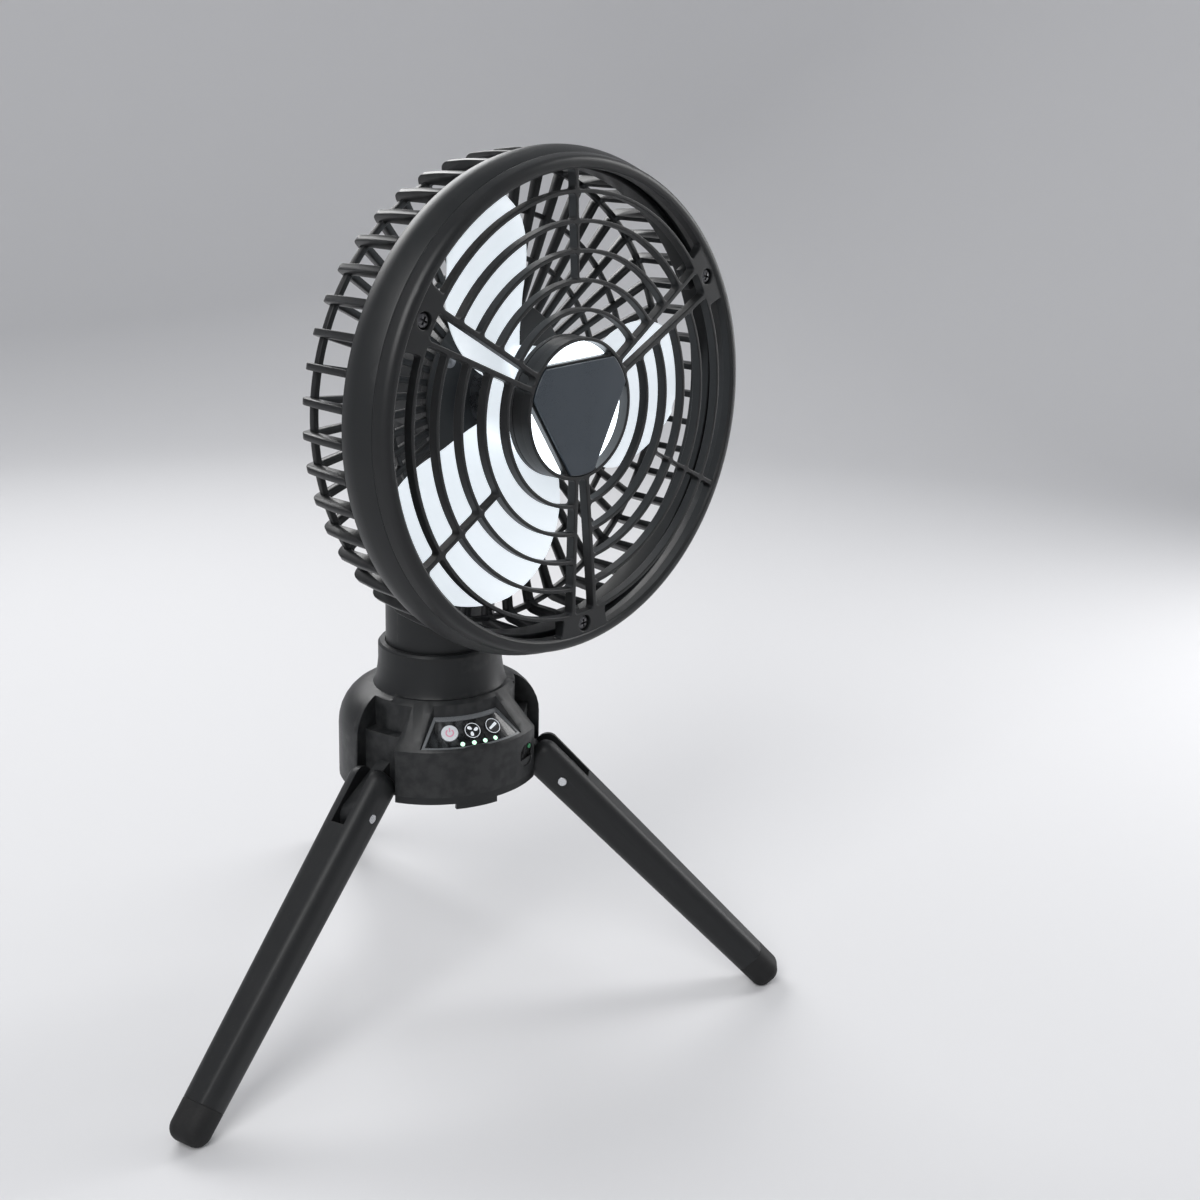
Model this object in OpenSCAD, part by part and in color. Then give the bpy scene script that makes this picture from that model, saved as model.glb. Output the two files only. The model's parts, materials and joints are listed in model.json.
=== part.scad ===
// Portable camping fan: a round fan head with a lamp in its grille, on a
// swivelling neck, a battery base with a sloped control panel and three legs.
// Millimetres, +Z up. The origin is the centre of the base's flat underside,
// on the swivel axis. The control panel faces -Y.

/* [Head] */
// Outer radius of the front rim at its face
rim_r = 95; // [85:1:105]
// Width of the flat rim round the front opening
rim_w = 4.3; // [3.8:0.1:6]
// How far the band swells beyond the rim
band_swell = 4.2; // [2:0.1:5]
// Depth of the smooth band, front to back
band_depth = 20; // [16:0.5:24]
// Depth from the front face to the outer back edge of the rear grille
head_depth = 47; // [44:0.5:60]
// Height of the fan axis above the base's underside
head_z = 169; // [166:1:200]
// Distance from the swivel axis forward to the face of the head
head_front = 82; // [78:0.5:90]
// Angle that the head is turned on its base
head_yaw = 20; // [-90:1:90]
// Angle that the grilles are turned about the fan's axis
head_roll = 2.8; // [0:0.1:5]

/* [Front grille] */
// Radius of the innermost ring
ring_first = 27; // [25:0.5:30]
// Number of rings
ring_count = 6; // [5:1:6]
// Thickness of a ring's edge
ring_t = 1.6; // [1.2:0.1:2.4]
// Depth of the rings and bars, front to back
ring_depth = 5.6; // [4:0.1:7]
// Width of each bar of the paired spokes
bar_w = 2.1; // [1.6:0.1:3]
// Half the spread of a spoke pair at the innermost ring
pair_in = 2.8; // [2:0.1:4]
// Half the spread of a spoke pair at the rim
pair_out = 6.7; // [5:0.1:9]
// Width of the plate that holds each grille screw
web_w = 22; // [18:0.5:26]

/* [Rear grille] */
// Number of ribs round the rear grille
rib_count = 48; // [30:1:50]
// Thickness of a rib
rib_t = 2.6; // [1.6:0.1:3]
// Depth of a rib's section
rib_h = 4; // [3:0.1:5]
// Radius of the round plate that carries the motor
hub_plate_r = 38; // [37:0.5:42]

/* [Fan] */
// Number of blades
blade_count = 3; // [2:1:4]
// Step from the rim's radius in to the blade tips
blade_gap = 8; // [7:0.5:16]
// Thickness of a blade at its middle
blade_t = 1.8; // [1.2:0.1:2.6]
// Half the angle that a blade covers near its root
blade_half = 37; // [25:1:40]
// Blade pitch at the hub
pitch_root = 38; // [20:1:42]
// Blade pitch at the tip
pitch_tip = 19; // [10:1:22]
// Outer radius of the fan's hub
fan_hub_r = 21; // [20:0.5:23]
// Radius of the motor shaft
shaft_r = 1.5; // [1.2:0.05:2]
// Radius of the motor's can
motor_r = 16; // [14:0.5:17]

/* [Neck and swivel] */
// Outer radius of the neck
neck_r = 23; // [21:0.5:24]
// Wall of the neck's shells
neck_wall = 2.6; // [2:0.1:3.5]
// Radius of the round housing behind the motor
pod_r = 27; // [26:0.5:29]
// Radius of the spigot that turns in the base
spigot_r = 12; // [10:0.5:13]

/* [Base] */
// Least room between the cells' corners and the wall of the base
cell_room = 2.5; // [2.3:0.1:5]
// Outer radius of the collar at the top of the base
collar_r = 26.2; // [26:0.1:28]
// Height of the collar's rim above the underside
collar_z = 58; // [54:0.5:64]
// Height of the upright wall at the lower edge of the control panel
facet_z = 22.7; // [22:0.1:25]
// Wall of the base
base_wall = 2.4; // [1.8:0.1:2.8]
// Thickness of the bottom cover
floor_t = 3; // [2.4:0.1:3.4]
// Radius of a battery cell
cell_r = 9.2; // [7:0.1:9.2]
// Length of a battery cell
cell_len = 65; // [48:0.5:65]

/* [Control panel] */
// Slope of the panel from level
panel_tilt = 45; // [43:1:47]
// Slope of the lobe's face round the panel from level
lobe_tilt = 54; // [50:1:56]
// Depth of the panel below the face of its lobe
panel_sink = 1; // [0.6:0.1:1.2]
// Half the width of the panel at its lower edge
panel_low = 20.4; // [18:0.2:21]
// Half the width of the panel at its upper edge
panel_high = 13.4; // [13:0.2:15]
// Height of the panel up its slope
panel_h = 12.2; // [12:0.1:12.6]
// Radius of a button
button_r = 3.5; // [3:0.1:3.6]
// Travel of a button
button_travel = 0.6; // [0.4:0.1:0.7]

/* [Legs] */
// Splay of an open leg from upright
leg_splay = 45; // [40:1:46]
// Height of the base's underside above the floor
stand_h = 100; // [80:1:140]
// Step from the base's wall out to the circle of the leg pins
pivot_out = 11; // [11:0.5:13]
// Depth of the leg pins below the base's underside
pivot_drop = 3; // [2:0.5:4]
// Width of a leg at its fork
leg_w = 18.5; // [17:0.5:19]
// Depth of a leg at its fork
leg_d = 16.5; // [15:0.5:17]
// Width of a leg at its foot
leg_w_foot = 15.5; // [13:0.5:17]
// Depth of a leg at its foot
leg_d_foot = 13.5; // [12:0.5:15]
// Thickness of the lug between a leg's cheeks
lug_t = 6; // [5:0.1:7]
// Radius of a leg pin
pin_r = 1.5; // [1.2:0.1:2]

/* [Hidden] */
$fn = 96;
e = 0.01;
seat = 0.3;     // gap between curved faces that face each other
slip = 0.05;    // radial clearance of a running fit

opening_r = rim_r - rim_w;
ring_pitch = (opening_r - ring_first - 8.2) / (ring_count - 1);
ring_last = ring_first + ring_pitch * (ring_count - 1);
blade_r = rim_r - blade_gap;
cell_y = 0.8;
cell_reach = norm([2 * cell_r + 0.1, cell_len / 2 + cell_y]);
base_r = round(10 * (cell_reach + cell_room + base_wall)) / 10;
pivot_r = base_r + pivot_out;

// Head depths are counted back from the front face
bar_z0 = 0.6;
bar_z1 = bar_z0 + ring_depth;
lap_z = 5.4;                        // where the rim ends and the band begins
band_in = rim_r - 1.5;              // bore of the band
screw_ring = opening_r - 4;         // circle of the grille screws
screw_r = 1.5;
badge_side = 19;                    // from the fan's axis to a side of the badge's plate
lug_back = 12.5;
hub_z = head_depth - 1;             // front face of the motor's plate
hub_t = 3.4;
corner_r = rim_r + 1.2;             // outer corner of the rear ribs
fan_front = 15.6;                   // front face of the fan's hub
fan_back = 34;
blade_mid = (fan_front + head_depth) / 2 - 4;
lens_r = ring_first - ring_t / 2 - 0.2;
cup_back = 11.6;
pod_y = head_front - hub_z - hub_t; // how far the motor plate's back lies forward of the axis
pod_back = neck_r - 2;
flange_r = hub_plate_r - 2;
flange_t = 3;
pod_ring = (pod_r + flange_r) / 2 + 0.4;
leads_r = 1.2;

// Swivel
shelf_z = collar_z - 17.6;
shelf_t = 3;
washer_t = 0.8;
neck_foot = shelf_z + shelf_t + washer_t;
neck_seam = collar_z + 3;
keep_t = 3;

// Base
notch_w = leg_w + 1.4;
pair_gap = 0.15;
pivot_z = -pivot_drop;
fork_top = 19;
fork_round = 5.2;
fork_in = pivot_r - (fork_top - fork_round) * sin(leg_splay)
  - (leg_d / 2 - fork_round) * cos(leg_splay) - fork_round;
notch_r = fork_in - seat;
boss_r = 3.2;
boss_ring = base_r - base_wall - 2.6;
cell_z = floor_t + 0.1 + cell_r;
skirt_z = facet_z - 2;              // height of the parts that stand inside the wall
lobe_round = 15;                    // reach of a rear lobe's round shoulder
lobe_z = 22;                        // height where that shoulder starts
lobe_top = collar_z - 18.5;
notch_z = 26;                       // above this the leg notches cut in to the flare
flare_r = collar_r + 5.7;
lip_h = 2.5;
lip_t = 1.6;
board_z = cell_z + cell_r + 1.2;
frame_w = 1.4;
panel_edge = 0.9;                   // wall left round the panel's lower edge
panel_c = cos(panel_tilt);
panel_r0 = base_r - panel_edge - frame_w * panel_c;   // lower edge of the panel
panel_r1 = panel_r0 - panel_h * panel_c;              // upper edge of the panel
button_ring = panel_r1 + 3.8;       // radius at which the buttons' middles lie
light_ring = button_ring + 3.65;
fascia_t = 1.5;
pad_t = 3.9;
pocket_z = 2.9;
board_top = 5.8;
button_turn = 15;                   // angle from one button to the next
lights = [for (i = [0:3]) -7.8 + 7.1 * i];
port_a = 36.5;
port_z = 12.8;
LEGS = [[-150, "left"], [-30, "right"], [90, "rear"]];

// Legs
foot_round = 5.4;
foot_cut = 0.5;
leg_len = (stand_h + foot_cut + pivot_z - foot_round
  - (leg_d_foot / 2 - foot_round) * sin(leg_splay)) / cos(leg_splay);
foot_z = leg_len - 9;
slot_w = lug_t + 0.5;
slot_low = 7.4;
lug_r = 6.3;
head_pin_r = pin_r + 0.4;           // head of a leg pin
spike_r = leg_d_foot / 2 - 2.75;    // peg that the foot's cap sits on
spike_l = 6;

// Places a shape drawn round the fan axis: +Z forward, +Y up, front face at 0
module head_pose() {
  translate([0, 0, head_z]) rotate([0, 0, head_yaw]) translate([0, -head_front, 0])
    rotate([90, 0, 0]) children();
}
module grille_pose() head_pose() rotate([0, 0, head_roll]) children();
module turned() { rotate([0, 0, head_yaw]) children(); }
// A ring or disc: r0 to r1 in radius, a to b in depth behind the front face
module ring(r0, r1, a, b) {
  rotate_extrude() translate([r0, -b]) square([r1 - r0, b - a]);
}
module disc(r, a, b) { translate([0, 0, -b]) cylinder(r = r, h = b - a); }
module at3(a0) { for (i = [0:2]) rotate([0, 0, a0 + 120 * i]) children(); }
// A triangle whose corners follow the innermost ring, pointing to 270, 30 and 150 degrees
module tri3d(side, r, h) {
  intersection() {
    cylinder(r = r, h = h);
    linear_extrude(h) polygon([for (a = [270, 30, 150]) 2 * side * [cos(a), sin(a)]]);
  }
}

// ---- Head shells ----
module spoke_pair() {
  r0 = ring_first - ring_t / 4;
  r1 = opening_r + 0.6;
  for (s = [-1, 1])
    translate([0, 0, -bar_z1]) linear_extrude(ring_depth)
      polygon([[r0, s * pair_in - bar_w / 2], [r1, s * pair_out - bar_w / 2],
        [r1, s * pair_out + bar_w / 2], [r0, s * pair_in + bar_w / 2]]);
}
module web() {
  r0 = ring_last - 0.6;
  r1 = opening_r + 0.6;
  difference() {
    translate([0, 0, -bar_z1]) linear_extrude(ring_depth - 0.4)
      polygon([[r0, -web_w / 2], [r1, -web_w / 2 - 2], [r1, web_w / 2 + 2], [r0, web_w / 2]]);
    translate([screw_ring, 0, -bar_z1 - 1]) cylinder(r = screw_r + 0.1, h = ring_depth + 2);
    translate([screw_ring, 0, -3.2]) cylinder(r = 3.2, h = 4);
  }
}
module grille_ring(i) rotate_extrude() let (r = ring_first + ring_pitch * i)
  polygon([[r - ring_t * 0.35, -bar_z0], [r + ring_t * 0.35, -bar_z0],
    [r + ring_t / 2, -bar_z1], [r - ring_t / 2, -bar_z1]]);
// The open slot between the bars of a pair, out to the bars' middles
module pair_slot() translate([0, 0, -12]) linear_extrude(13) {
  r0 = ring_first + ring_t;
  r1 = ring_last - 2;
  k = (pair_out - pair_in) / (opening_r - ring_first);
  polygon([[r0, -pair_in - k * (r0 - ring_first)], [r1, -pair_in - k * (r1 - ring_first)],
    [r1, pair_in + k * (r1 - ring_first)], [r0, pair_in + k * (r0 - ring_first)]]);
}
module front_grille() color("#1b1d1e") grille_pose() {
  rotate_extrude() polygon([[opening_r, -1], [opening_r + 0.8, 0], [rim_r - 1.6, 0],
    [rim_r - 0.4, -0.6], [rim_r + 0.5, -1.8], [rim_r + 1.6, -lap_z], [band_in - 0.2, -lap_z],
    [band_in - 0.2, -lap_z - 3], [band_in - 2, -lap_z - 3], [opening_r, -lap_z + 1]]);
  difference() {
    for (i = [1:ring_count - 2]) grille_ring(i);
    at3(270) pair_slot();
  }
  grille_ring(ring_count - 1);
  ring(ring_first - ring_t / 2, ring_first + ring_t / 2, bar_z0, 9.4);
  at3(270) { spoke_pair(); web(); }
  at3(90) translate([ring_first + 2 * ring_pitch, -1.1, -bar_z1])
    cube([opening_r + 0.5 - ring_first - 2 * ring_pitch, 2.2, ring_depth - 0.4]);
  translate([0, 0, -4.4]) tri3d(badge_side, ring_first, 2.9);
}
module grille_badge() color("#25282b") grille_pose()
  translate([0, 0, -1.5]) tri3d(badge_side - 0.9, ring_first - ring_t / 2 - 0.3, 1.3);
module grille_screws() color("#8f9499") grille_pose() at3(270)
  translate([screw_ring, 0, 0]) {
    disc(2.9, 1.2, 3.2);
    disc(screw_r, 3.2 - e, 11.5);
  }
module front_band() color("#17191a") grille_pose() {
  rotate_extrude() polygon([[band_in, -lap_z], [rim_r + 1.6, -lap_z],
    [rim_r + band_swell * 0.75, -9], [rim_r + band_swell, -13], [rim_r + band_swell, -16],
    [rim_r + band_swell * 0.8, -band_depth + 0.6], [rim_r + band_swell * 0.6, -band_depth],
    [band_in, -band_depth]]);
  at3(270) difference() {
    translate([screw_ring - 4.2, -5, -lug_back])
      cube([band_in + 0.6 - screw_ring + 4.2, 10, lug_back - bar_z1 - 2.5]);
    translate([screw_ring, 0, -lug_back - 1]) cylinder(r = screw_r + 0.1, h = 20);
  }
}
module rib() {
  rotate([90, 0, 0]) linear_extrude(rib_t, center = true)
    polygon([[band_in - 1.4, -band_depth - 0.3], [corner_r + 1.6, -band_depth - 0.3],
      [corner_r + 1.2, -head_depth * 0.7], [corner_r, -head_depth + 3],
      [corner_r - 1.4, -head_depth + 0.8], [corner_r - 3.4, -head_depth],
      [hub_plate_r - 2, -hub_z - hub_t + 0.5], [hub_plate_r - 2, -hub_z - 0.5],
      [corner_r - rib_h - 2, -head_depth + rib_h], [corner_r - rib_h, -head_depth + rib_h + 2]]);
}
module rear_grille() color("#1a1c1d") head_pose() {
  difference() {
    union() {
      for (i = [0:rib_count - 1]) rotate([0, 0, head_roll + 360 / rib_count * i]) rib();
      ring(band_in - 2.6, band_in - 0.25, lug_back + 0.5, band_depth + 3);
      ring(corner_r - rib_h - 1.6, corner_r - rib_h + 0.8, head_depth - 5, head_depth - 2.4);
      for (r = [hub_plate_r + 17, hub_plate_r + 35]) ring(r - 1, r + 1, hub_z - 0.4, hub_z + 2);
      disc(hub_plate_r, hub_z, hub_z + hub_t);
    }
    disc(5, hub_z - 1, hub_z + 5);
    at3(90) translate([11, 0, 0]) disc(1.35, hub_z - 1, hub_z + 5);
    at3(30) translate([pod_ring, 0, 0]) disc(screw_r + 0.1, hub_z - 1, hub_z + 5);
  }
}

// ---- Lamp ----
module lamp_lens() color("#f4f6f8") head_pose() {
  disc(lens_r, 4.7, 6.4);
  ring(lens_r - 1.6, lens_r, 6.3, 8);
}
module lamp_cup() color("#202224") head_pose() difference() {
  union() {
    disc(lens_r, 8.1, cup_back);
    disc(ring_first + ring_t / 2, 9.5, cup_back);
  }
  disc(lens_r - 1.8, 8, cup_back - 1.4);
}
module lamp_board() color("#e9ece8") head_pose() disc(lens_r - 2.2, cup_back - 2.5, cup_back - 1.4);
module lamp_leds() color("#fff3c4") head_pose()
  for (i = [0:11]) rotate([0, 0, 30 * i]) translate([lens_r - 7, -1.4, -(cup_back - 2.5)])
    cube([2.8, 2.8, 0.8]);

// ---- Fan and motor ----
// A blade is a fan of chord sections from hub to tip; u runs 0 to 1 along it
function b_r(u) = fan_hub_r - 0.8 + u * (blade_r - fan_hub_r + 0.8);
function b_in(u) = max(0, (b_r(u) - 30) / (blade_r + 0.4 - 30));
function b_half(u) = blade_half * pow(1 - pow(b_in(u), 2.4), 0.6);
function b_mid(u) = 121 - 8 * min(1, max(0, (b_r(u) - 40) / 35));
function b_pitch(u) = pitch_root + (pitch_tip - pitch_root) * pow(u, 0.6);
function b_th(u, v) = blade_t * (0.35 + 0.65 * (1 - v * v)) * (1 - 0.35 * u);
// v runs -1 at the leading edge to +1 at the trailing edge; s is the side
function b_pt(u, v, s) = let (a = b_mid(u) + v * b_half(u), r = b_r(u),
    half = r * b_half(u) * PI / 180,
    z = -blade_mid + v * min(half * tan(b_pitch(u)), 10.8) - 1.6 * (1 - v * v))
  [r * cos(a), r * sin(a), z + s * b_th(u, v) / 2];
module blade() {
  nu = 14;
  nv = 8;
  m = 2 * nv;
  pts = [for (i = [0:nu]) let (u = 1 - pow(1 - i / nu, 1.5))
    each concat([for (j = [0:nv - 1]) b_pt(u, -1 + 2 * j / nv, 1)],
      [for (j = [0:nv - 1]) b_pt(u, 1 - 2 * j / nv, -1)])];
  faces = concat(
    [for (i = [0:nu - 1]) for (j = [0:m - 1]) let (k = (j + 1) % m)
      each [[i * m + j, i * m + k, (i + 1) * m + k], [i * m + j, (i + 1) * m + k, (i + 1) * m + j]]],
    [[for (j = [0:m - 1]) m - 1 - j]], [[for (j = [0:m - 1]) nu * m + j]]);
  polyhedron(pts, faces, convexity = 4);
}
module impeller() color("#eef1f3") head_pose() {
  difference() {
    union() {
      rotate_extrude() polygon([[0, -fan_front], [fan_hub_r - 4, -fan_front],
        [fan_hub_r - 1.2, -fan_front - 1], [fan_hub_r, -fan_front - 3.6],
        [fan_hub_r, -fan_back], [0, -fan_back]]);
      for (i = [0:blade_count - 1]) rotate([0, 0, 360 / blade_count * i]) blade();
    }
    disc(fan_hub_r - 2.2, fan_front + 2.4, fan_back + 20);
    disc(shaft_r + slip, 0, fan_back);
  }
}
module impeller_cap() color("#c9ced2") head_pose() difference() {
  disc(5, fan_front - 2.6, fan_front);
  disc(shaft_r + slip, fan_front - 1.6, fan_front + 1);
}
module motor_shaft() color("#b9bec4") head_pose() {
  disc(shaft_r, fan_front - 1.4, hub_z - 0.4);
  disc(motor_r - 4.5, fan_front + 11, hub_z - 6);
}
module motor_can() color("#9ba1a8") head_pose() difference() {
  disc(motor_r, fan_front + 5, hub_z);
  disc(motor_r - 1.4, fan_front + 6.4, hub_z - 2.4);
  disc(4, fan_front, hub_z + 1);
  at3(90) translate([11, 0, 0]) disc(1.25, hub_z - 4, hub_z + 1);
}
module motor_bushes() color("#a8792f") head_pose() {
  ring(shaft_r + slip, 4, fan_front + 5, fan_front + 8.4);
  ring(shaft_r + slip, 4, hub_z - 4.4, hub_z);
}
module motor_screws() color("#8f9499") head_pose() at3(90) translate([11, 0, 0]) {
  disc(1.2, hub_z - 2.2, hub_z + hub_t + e);
  disc(2.4, hub_z + hub_t, hub_z + hub_t + 1.6);
}
// Two wires: back out of the motor, then down the neck and out through its spigot
module motor_leads() color("#a02020") turned()
  for (s = [-1, 1]) translate([s * 1.6, 0, 0]) {
    translate([0, 0, neck_foot - 8.5]) cylinder(r = leads_r, h = head_z - neck_foot + 8.5, $fn = 16);
    translate([0, 0, head_z]) sphere(r = leads_r, $fn = 16);
    translate([0, -pod_y - hub_t + 0.2, head_z]) rotate([-90, 0, 0])
      cylinder(r = leads_r, h = pod_y + hub_t - 0.2, $fn = 16);
  }

// ---- Neck ----
module neck_body(r, p, back, foot) {
  translate([0, 0, foot]) cylinder(r = r, h = head_z - foot);
  translate([0, -pod_y, head_z]) rotate([-90, 0, 0]) rotate_extrude()
    polygon([[0, 0], [p, 0], [p, pod_y + back - 7], [p - 1.6, pod_y + back - 3],
      [p - 5, pod_y + back], [0, pod_y + back]]);
}
module neck_hollow() difference() {
  union() {
    neck_body(neck_r, pod_r, pod_back, neck_foot);
    translate([0, -pod_y, head_z]) rotate([-90, 0, 0]) cylinder(r = flange_r, h = flange_t);
  }
  neck_body(neck_r - neck_wall, pod_r - neck_wall, pod_back - neck_wall, neck_foot + 3.5);
  translate([0, -pod_y - 1, head_z]) rotate([-90, 0, 0]) cylinder(r = pod_r - neck_wall, h = 5);
}
function neck_bolts() = [[-12, neck_seam + 12], [12, neck_seam + 12],
  [-15.1, head_z + 15.1], [15.1, head_z + 15.1]];
module rear_part() {
  translate([-60, 0, neck_seam]) cube([120, 60, 200]);
}
module neck_front() color("#1c1e1f") turned() difference() {
  union() {
    difference() {
      neck_hollow();
      rear_part();
    }
    for (b = neck_bolts()) intersection() {
      translate([b[0], -pod_y, b[1]]) rotate([-90, 0, 0]) cylinder(r = 3.4, h = pod_y);
      neck_body(neck_r - 0.4, pod_r - 0.4, pod_back - 0.4, neck_foot);
    }
    translate([0, 0, neck_foot - 3.8 - washer_t]) cylinder(r = spigot_r, h = 6 + washer_t);
  }
  translate([0, 0, neck_foot - 12]) cylinder(r = 5, h = 18);
  for (b = neck_bolts()) translate([b[0], -10, b[1]]) rotate([-90, 0, 0])
    cylinder(r = screw_r + 0.1, h = 12);
  for (a = [0:120:240]) rotate([0, 0, a]) translate([8.6, 0, neck_foot - 12])
    cylinder(r = 1.1, h = 15);
  for (i = [0:2]) let (a = 30 + 120 * i)
    translate([pod_ring * cos(a), -pod_y - 1, head_z + pod_ring * sin(a)]) rotate([-90, 0, 0])
      cylinder(r = screw_r + 0.1, h = flange_t + 2);
}
module neck_rear() color("#1a1c1d") turned() difference() {
  union() {
    intersection() {
      neck_hollow();
      rear_part();
    }
    for (b = neck_bolts()) intersection() {
      translate([b[0], 0, b[1]]) rotate([-90, 0, 0]) cylinder(r = 3.4, h = 40);
      neck_body(neck_r - 0.4, pod_r - 0.4, pod_back - 0.4, neck_foot);
    }
  }
  for (b = neck_bolts()) translate([b[0], 0, b[1]]) rotate([-90, 0, 0]) {
    translate([0, 0, -1]) cylinder(r = screw_r + 0.1, h = 60);
    translate([0, 0, 9]) cylinder(r = 3, h = 50);
  }
}
module neck_screws() color("#8f9499") turned()
  for (b = neck_bolts()) translate([b[0], 0, b[1]]) rotate([-90, 0, 0]) {
    translate([0, 0, -7]) cylinder(r = screw_r, h = 16 + e);
    translate([0, 0, 9]) cylinder(r = 2.8, h = 2);
  }
module pod_screws() color("#8f9499") turned()
  for (i = [0:2]) let (a = 30 + 120 * i)
    translate([pod_ring * cos(a), -pod_y - hub_t, head_z + pod_ring * sin(a)]) rotate([-90, 0, 0]) {
      translate([0, 0, -2]) cylinder(r = 2.8, h = 2);
      translate([0, 0, -e]) cylinder(r = screw_r, h = hub_t + flange_t - 0.3);
    }

// ---- Swivel ----
module swivel_washer() color("#d8d4c8") translate([0, 0, shelf_z + shelf_t]) difference() {
  cylinder(r = neck_r - 1.5, h = washer_t);
  translate([0, 0, -1]) cylinder(r = spigot_r + 0.3, h = 4);
}
module swivel_retainer() color("#3a3d40") turned() translate([0, 0, shelf_z - 0.8 - keep_t])
  difference() {
    cylinder(r = spigot_r + 5, h = keep_t);
    translate([0, 0, -1]) cylinder(r = 5, h = keep_t + 2);
    for (a = [0:120:240]) rotate([0, 0, a]) translate([8.6, 0, -1])
      cylinder(r = 1.3, h = keep_t + 2);
  }
module retainer_screws() color("#8f9499") turned()
  for (a = [0:120:240]) rotate([0, 0, a]) translate([8.6, 0, shelf_z - 0.8 - keep_t]) {
    translate([0, 0, -1.4]) cylinder(r = 2, h = 1.4);
    translate([0, 0, -e]) cylinder(r = 1, h = keep_t + 5);
  }

// ---- Base ----
// The base without its notches; g shrinks it for the hollow inside
module base_form(g) {
  t = tan(lobe_tilt);
  k = 1 / cos(lobe_tilt);
  rotate_extrude() polygon([[0, 0], [flare_r - g, 0], [flare_r - g, collar_z - 28],
    [flare_r - 2 - g, collar_z - 22.3], [collar_r + 2.1 - g, collar_z - 18.4],
    [collar_r + 1 - g, collar_z - 15.1], [collar_r + 0.4 - g, collar_z - 11.5],
    [collar_r - g, collar_z - 8], [collar_r - g, collar_z - 1], [collar_r - 0.8 - g, collar_z],
    [0, collar_z]]);
  intersection() {
    rotate_extrude() polygon([[0, 0], [base_r - g, 0], [base_r - g, facet_z + g * t - g * k],
      [collar_r + 4 - g, facet_z + (base_r - collar_r - 4 + g) * t - g * k],
      [collar_r + 1.6 - g, lobe_top + 0.5 - g], [0, lobe_top + 0.5 - g]]);
    front_sector();
  }
  difference() {
    rotate_extrude() polygon(concat([[0, 0], [base_r - g, 0]],
      [for (i = [0:8]) [base_r - lobe_round + (lobe_round - g) * cos(11.25 * i),
        lobe_z + (lobe_top - lobe_z - g) * sin(11.25 * i)]], [[0, lobe_top - g]]));
    front_sector();
  }
}
module front_sector() translate([0, 0, -20]) linear_extrude(200)
  polygon([[0, 0], [-173.2, -100], [0, -300], [173.2, -100]]);
module notches(g) {
  for (L = LEGS) rotate([0, 0, L[0]]) {
    translate([0, 0, -1]) linear_extrude(collar_z + 5)
      polygon([[notch_r - g, -notch_w / 2 - g], [base_r - 1.5 - g, -notch_w / 2 - g],
        [base_r + 7.5, -notch_w / 2 - 9 - g], [base_r + 30, -notch_w / 2 - 9 - g],
        [base_r + 30, notch_w / 2 + 9 + g], [base_r + 7.5, notch_w / 2 + 9 + g],
        [base_r - 1.5 - g, notch_w / 2 + g], [notch_r - g, notch_w / 2 + g]]);
    translate([0, 0, notch_z - g]) linear_extrude(collar_z) difference() {
      translate([0, -notch_w / 2 - g]) square([notch_r + 1, notch_w + 2 * g]);
      circle(r = flare_r - g);
    }
  }
}
// Places a shape on the panel's slope at radius r, turned by a from the panel's middle
function panel_line(r) = facet_z + panel_edge * tan(lobe_tilt) - panel_sink / panel_c
  + (base_r - panel_edge - r) * tan(panel_tilt);
module panel_at(r, a) rotate([0, 0, a]) translate([0, -r, panel_line(r)])
  rotate([panel_tilt, 0, 0]) children();
// A layer that follows the panel's slope from radius r1 out to r0, from height a to b
module panel_layer(r1, r0, a, b) rotate_extrude()
  polygon([[r1, panel_line(r1) + a / panel_c], [r0, panel_line(r0) + a / panel_c],
    [r0, panel_line(r0) + b / panel_c], [r1, panel_line(r1) + b / panel_c]]);
// The panel grown by g, from height a to b
module panel_plate(g, a, b) {
  low = [panel_low, -sqrt(panel_r0 * panel_r0 - panel_low * panel_low)];
  high = [panel_high, -sqrt(panel_r1 * panel_r1 - panel_high * panel_high)];
  p = low + (low - high);
  q = high - (low - high);
  intersection() {
    panel_layer(panel_r1 - g * panel_c, panel_r0 + g * panel_c, a, b);
    linear_extrude(120) polygon([[-p[0] - g * 1.3, p[1]], [p[0] + g * 1.3, p[1]],
      [q[0] + g * 1.3, q[1]], [-q[0] - g * 1.3, q[1]]]);
  }
}
module base_cavity() difference() {
  intersection() {
    base_form(base_wall);
    translate([0, 0, -1]) cylinder(r = base_r, h = shelf_z + 1);
  }
  notches(base_wall);
  intersection() {
    panel_layer(8, base_r + 9, -pad_t, 60);
    front_sector();
  }
  for (a = [30, 150, 270]) rotate([0, 0, a]) translate([boss_ring, 0, 0])
    cylinder(r = boss_r, h = skirt_z - 5);
}
module lug() {
  rotate([90, 0, 0]) linear_extrude(lug_t, center = true) {
    translate([pivot_r, pivot_z]) circle(r = lug_r);
    polygon([[notch_r - 1, skirt_z - 6], [notch_r - 1, floor_t + 2],
      [pivot_r - lug_r * 0.6, pivot_z - lug_r * 0.8], [pivot_r + lug_r * 0.6, pivot_z + lug_r * 0.8]]);
  }
}
module port_pose() {
  rotate([0, 0, port_a - 90]) translate([base_r, 0, port_z]) rotate([0, 90, 0]) children();
}
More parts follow.
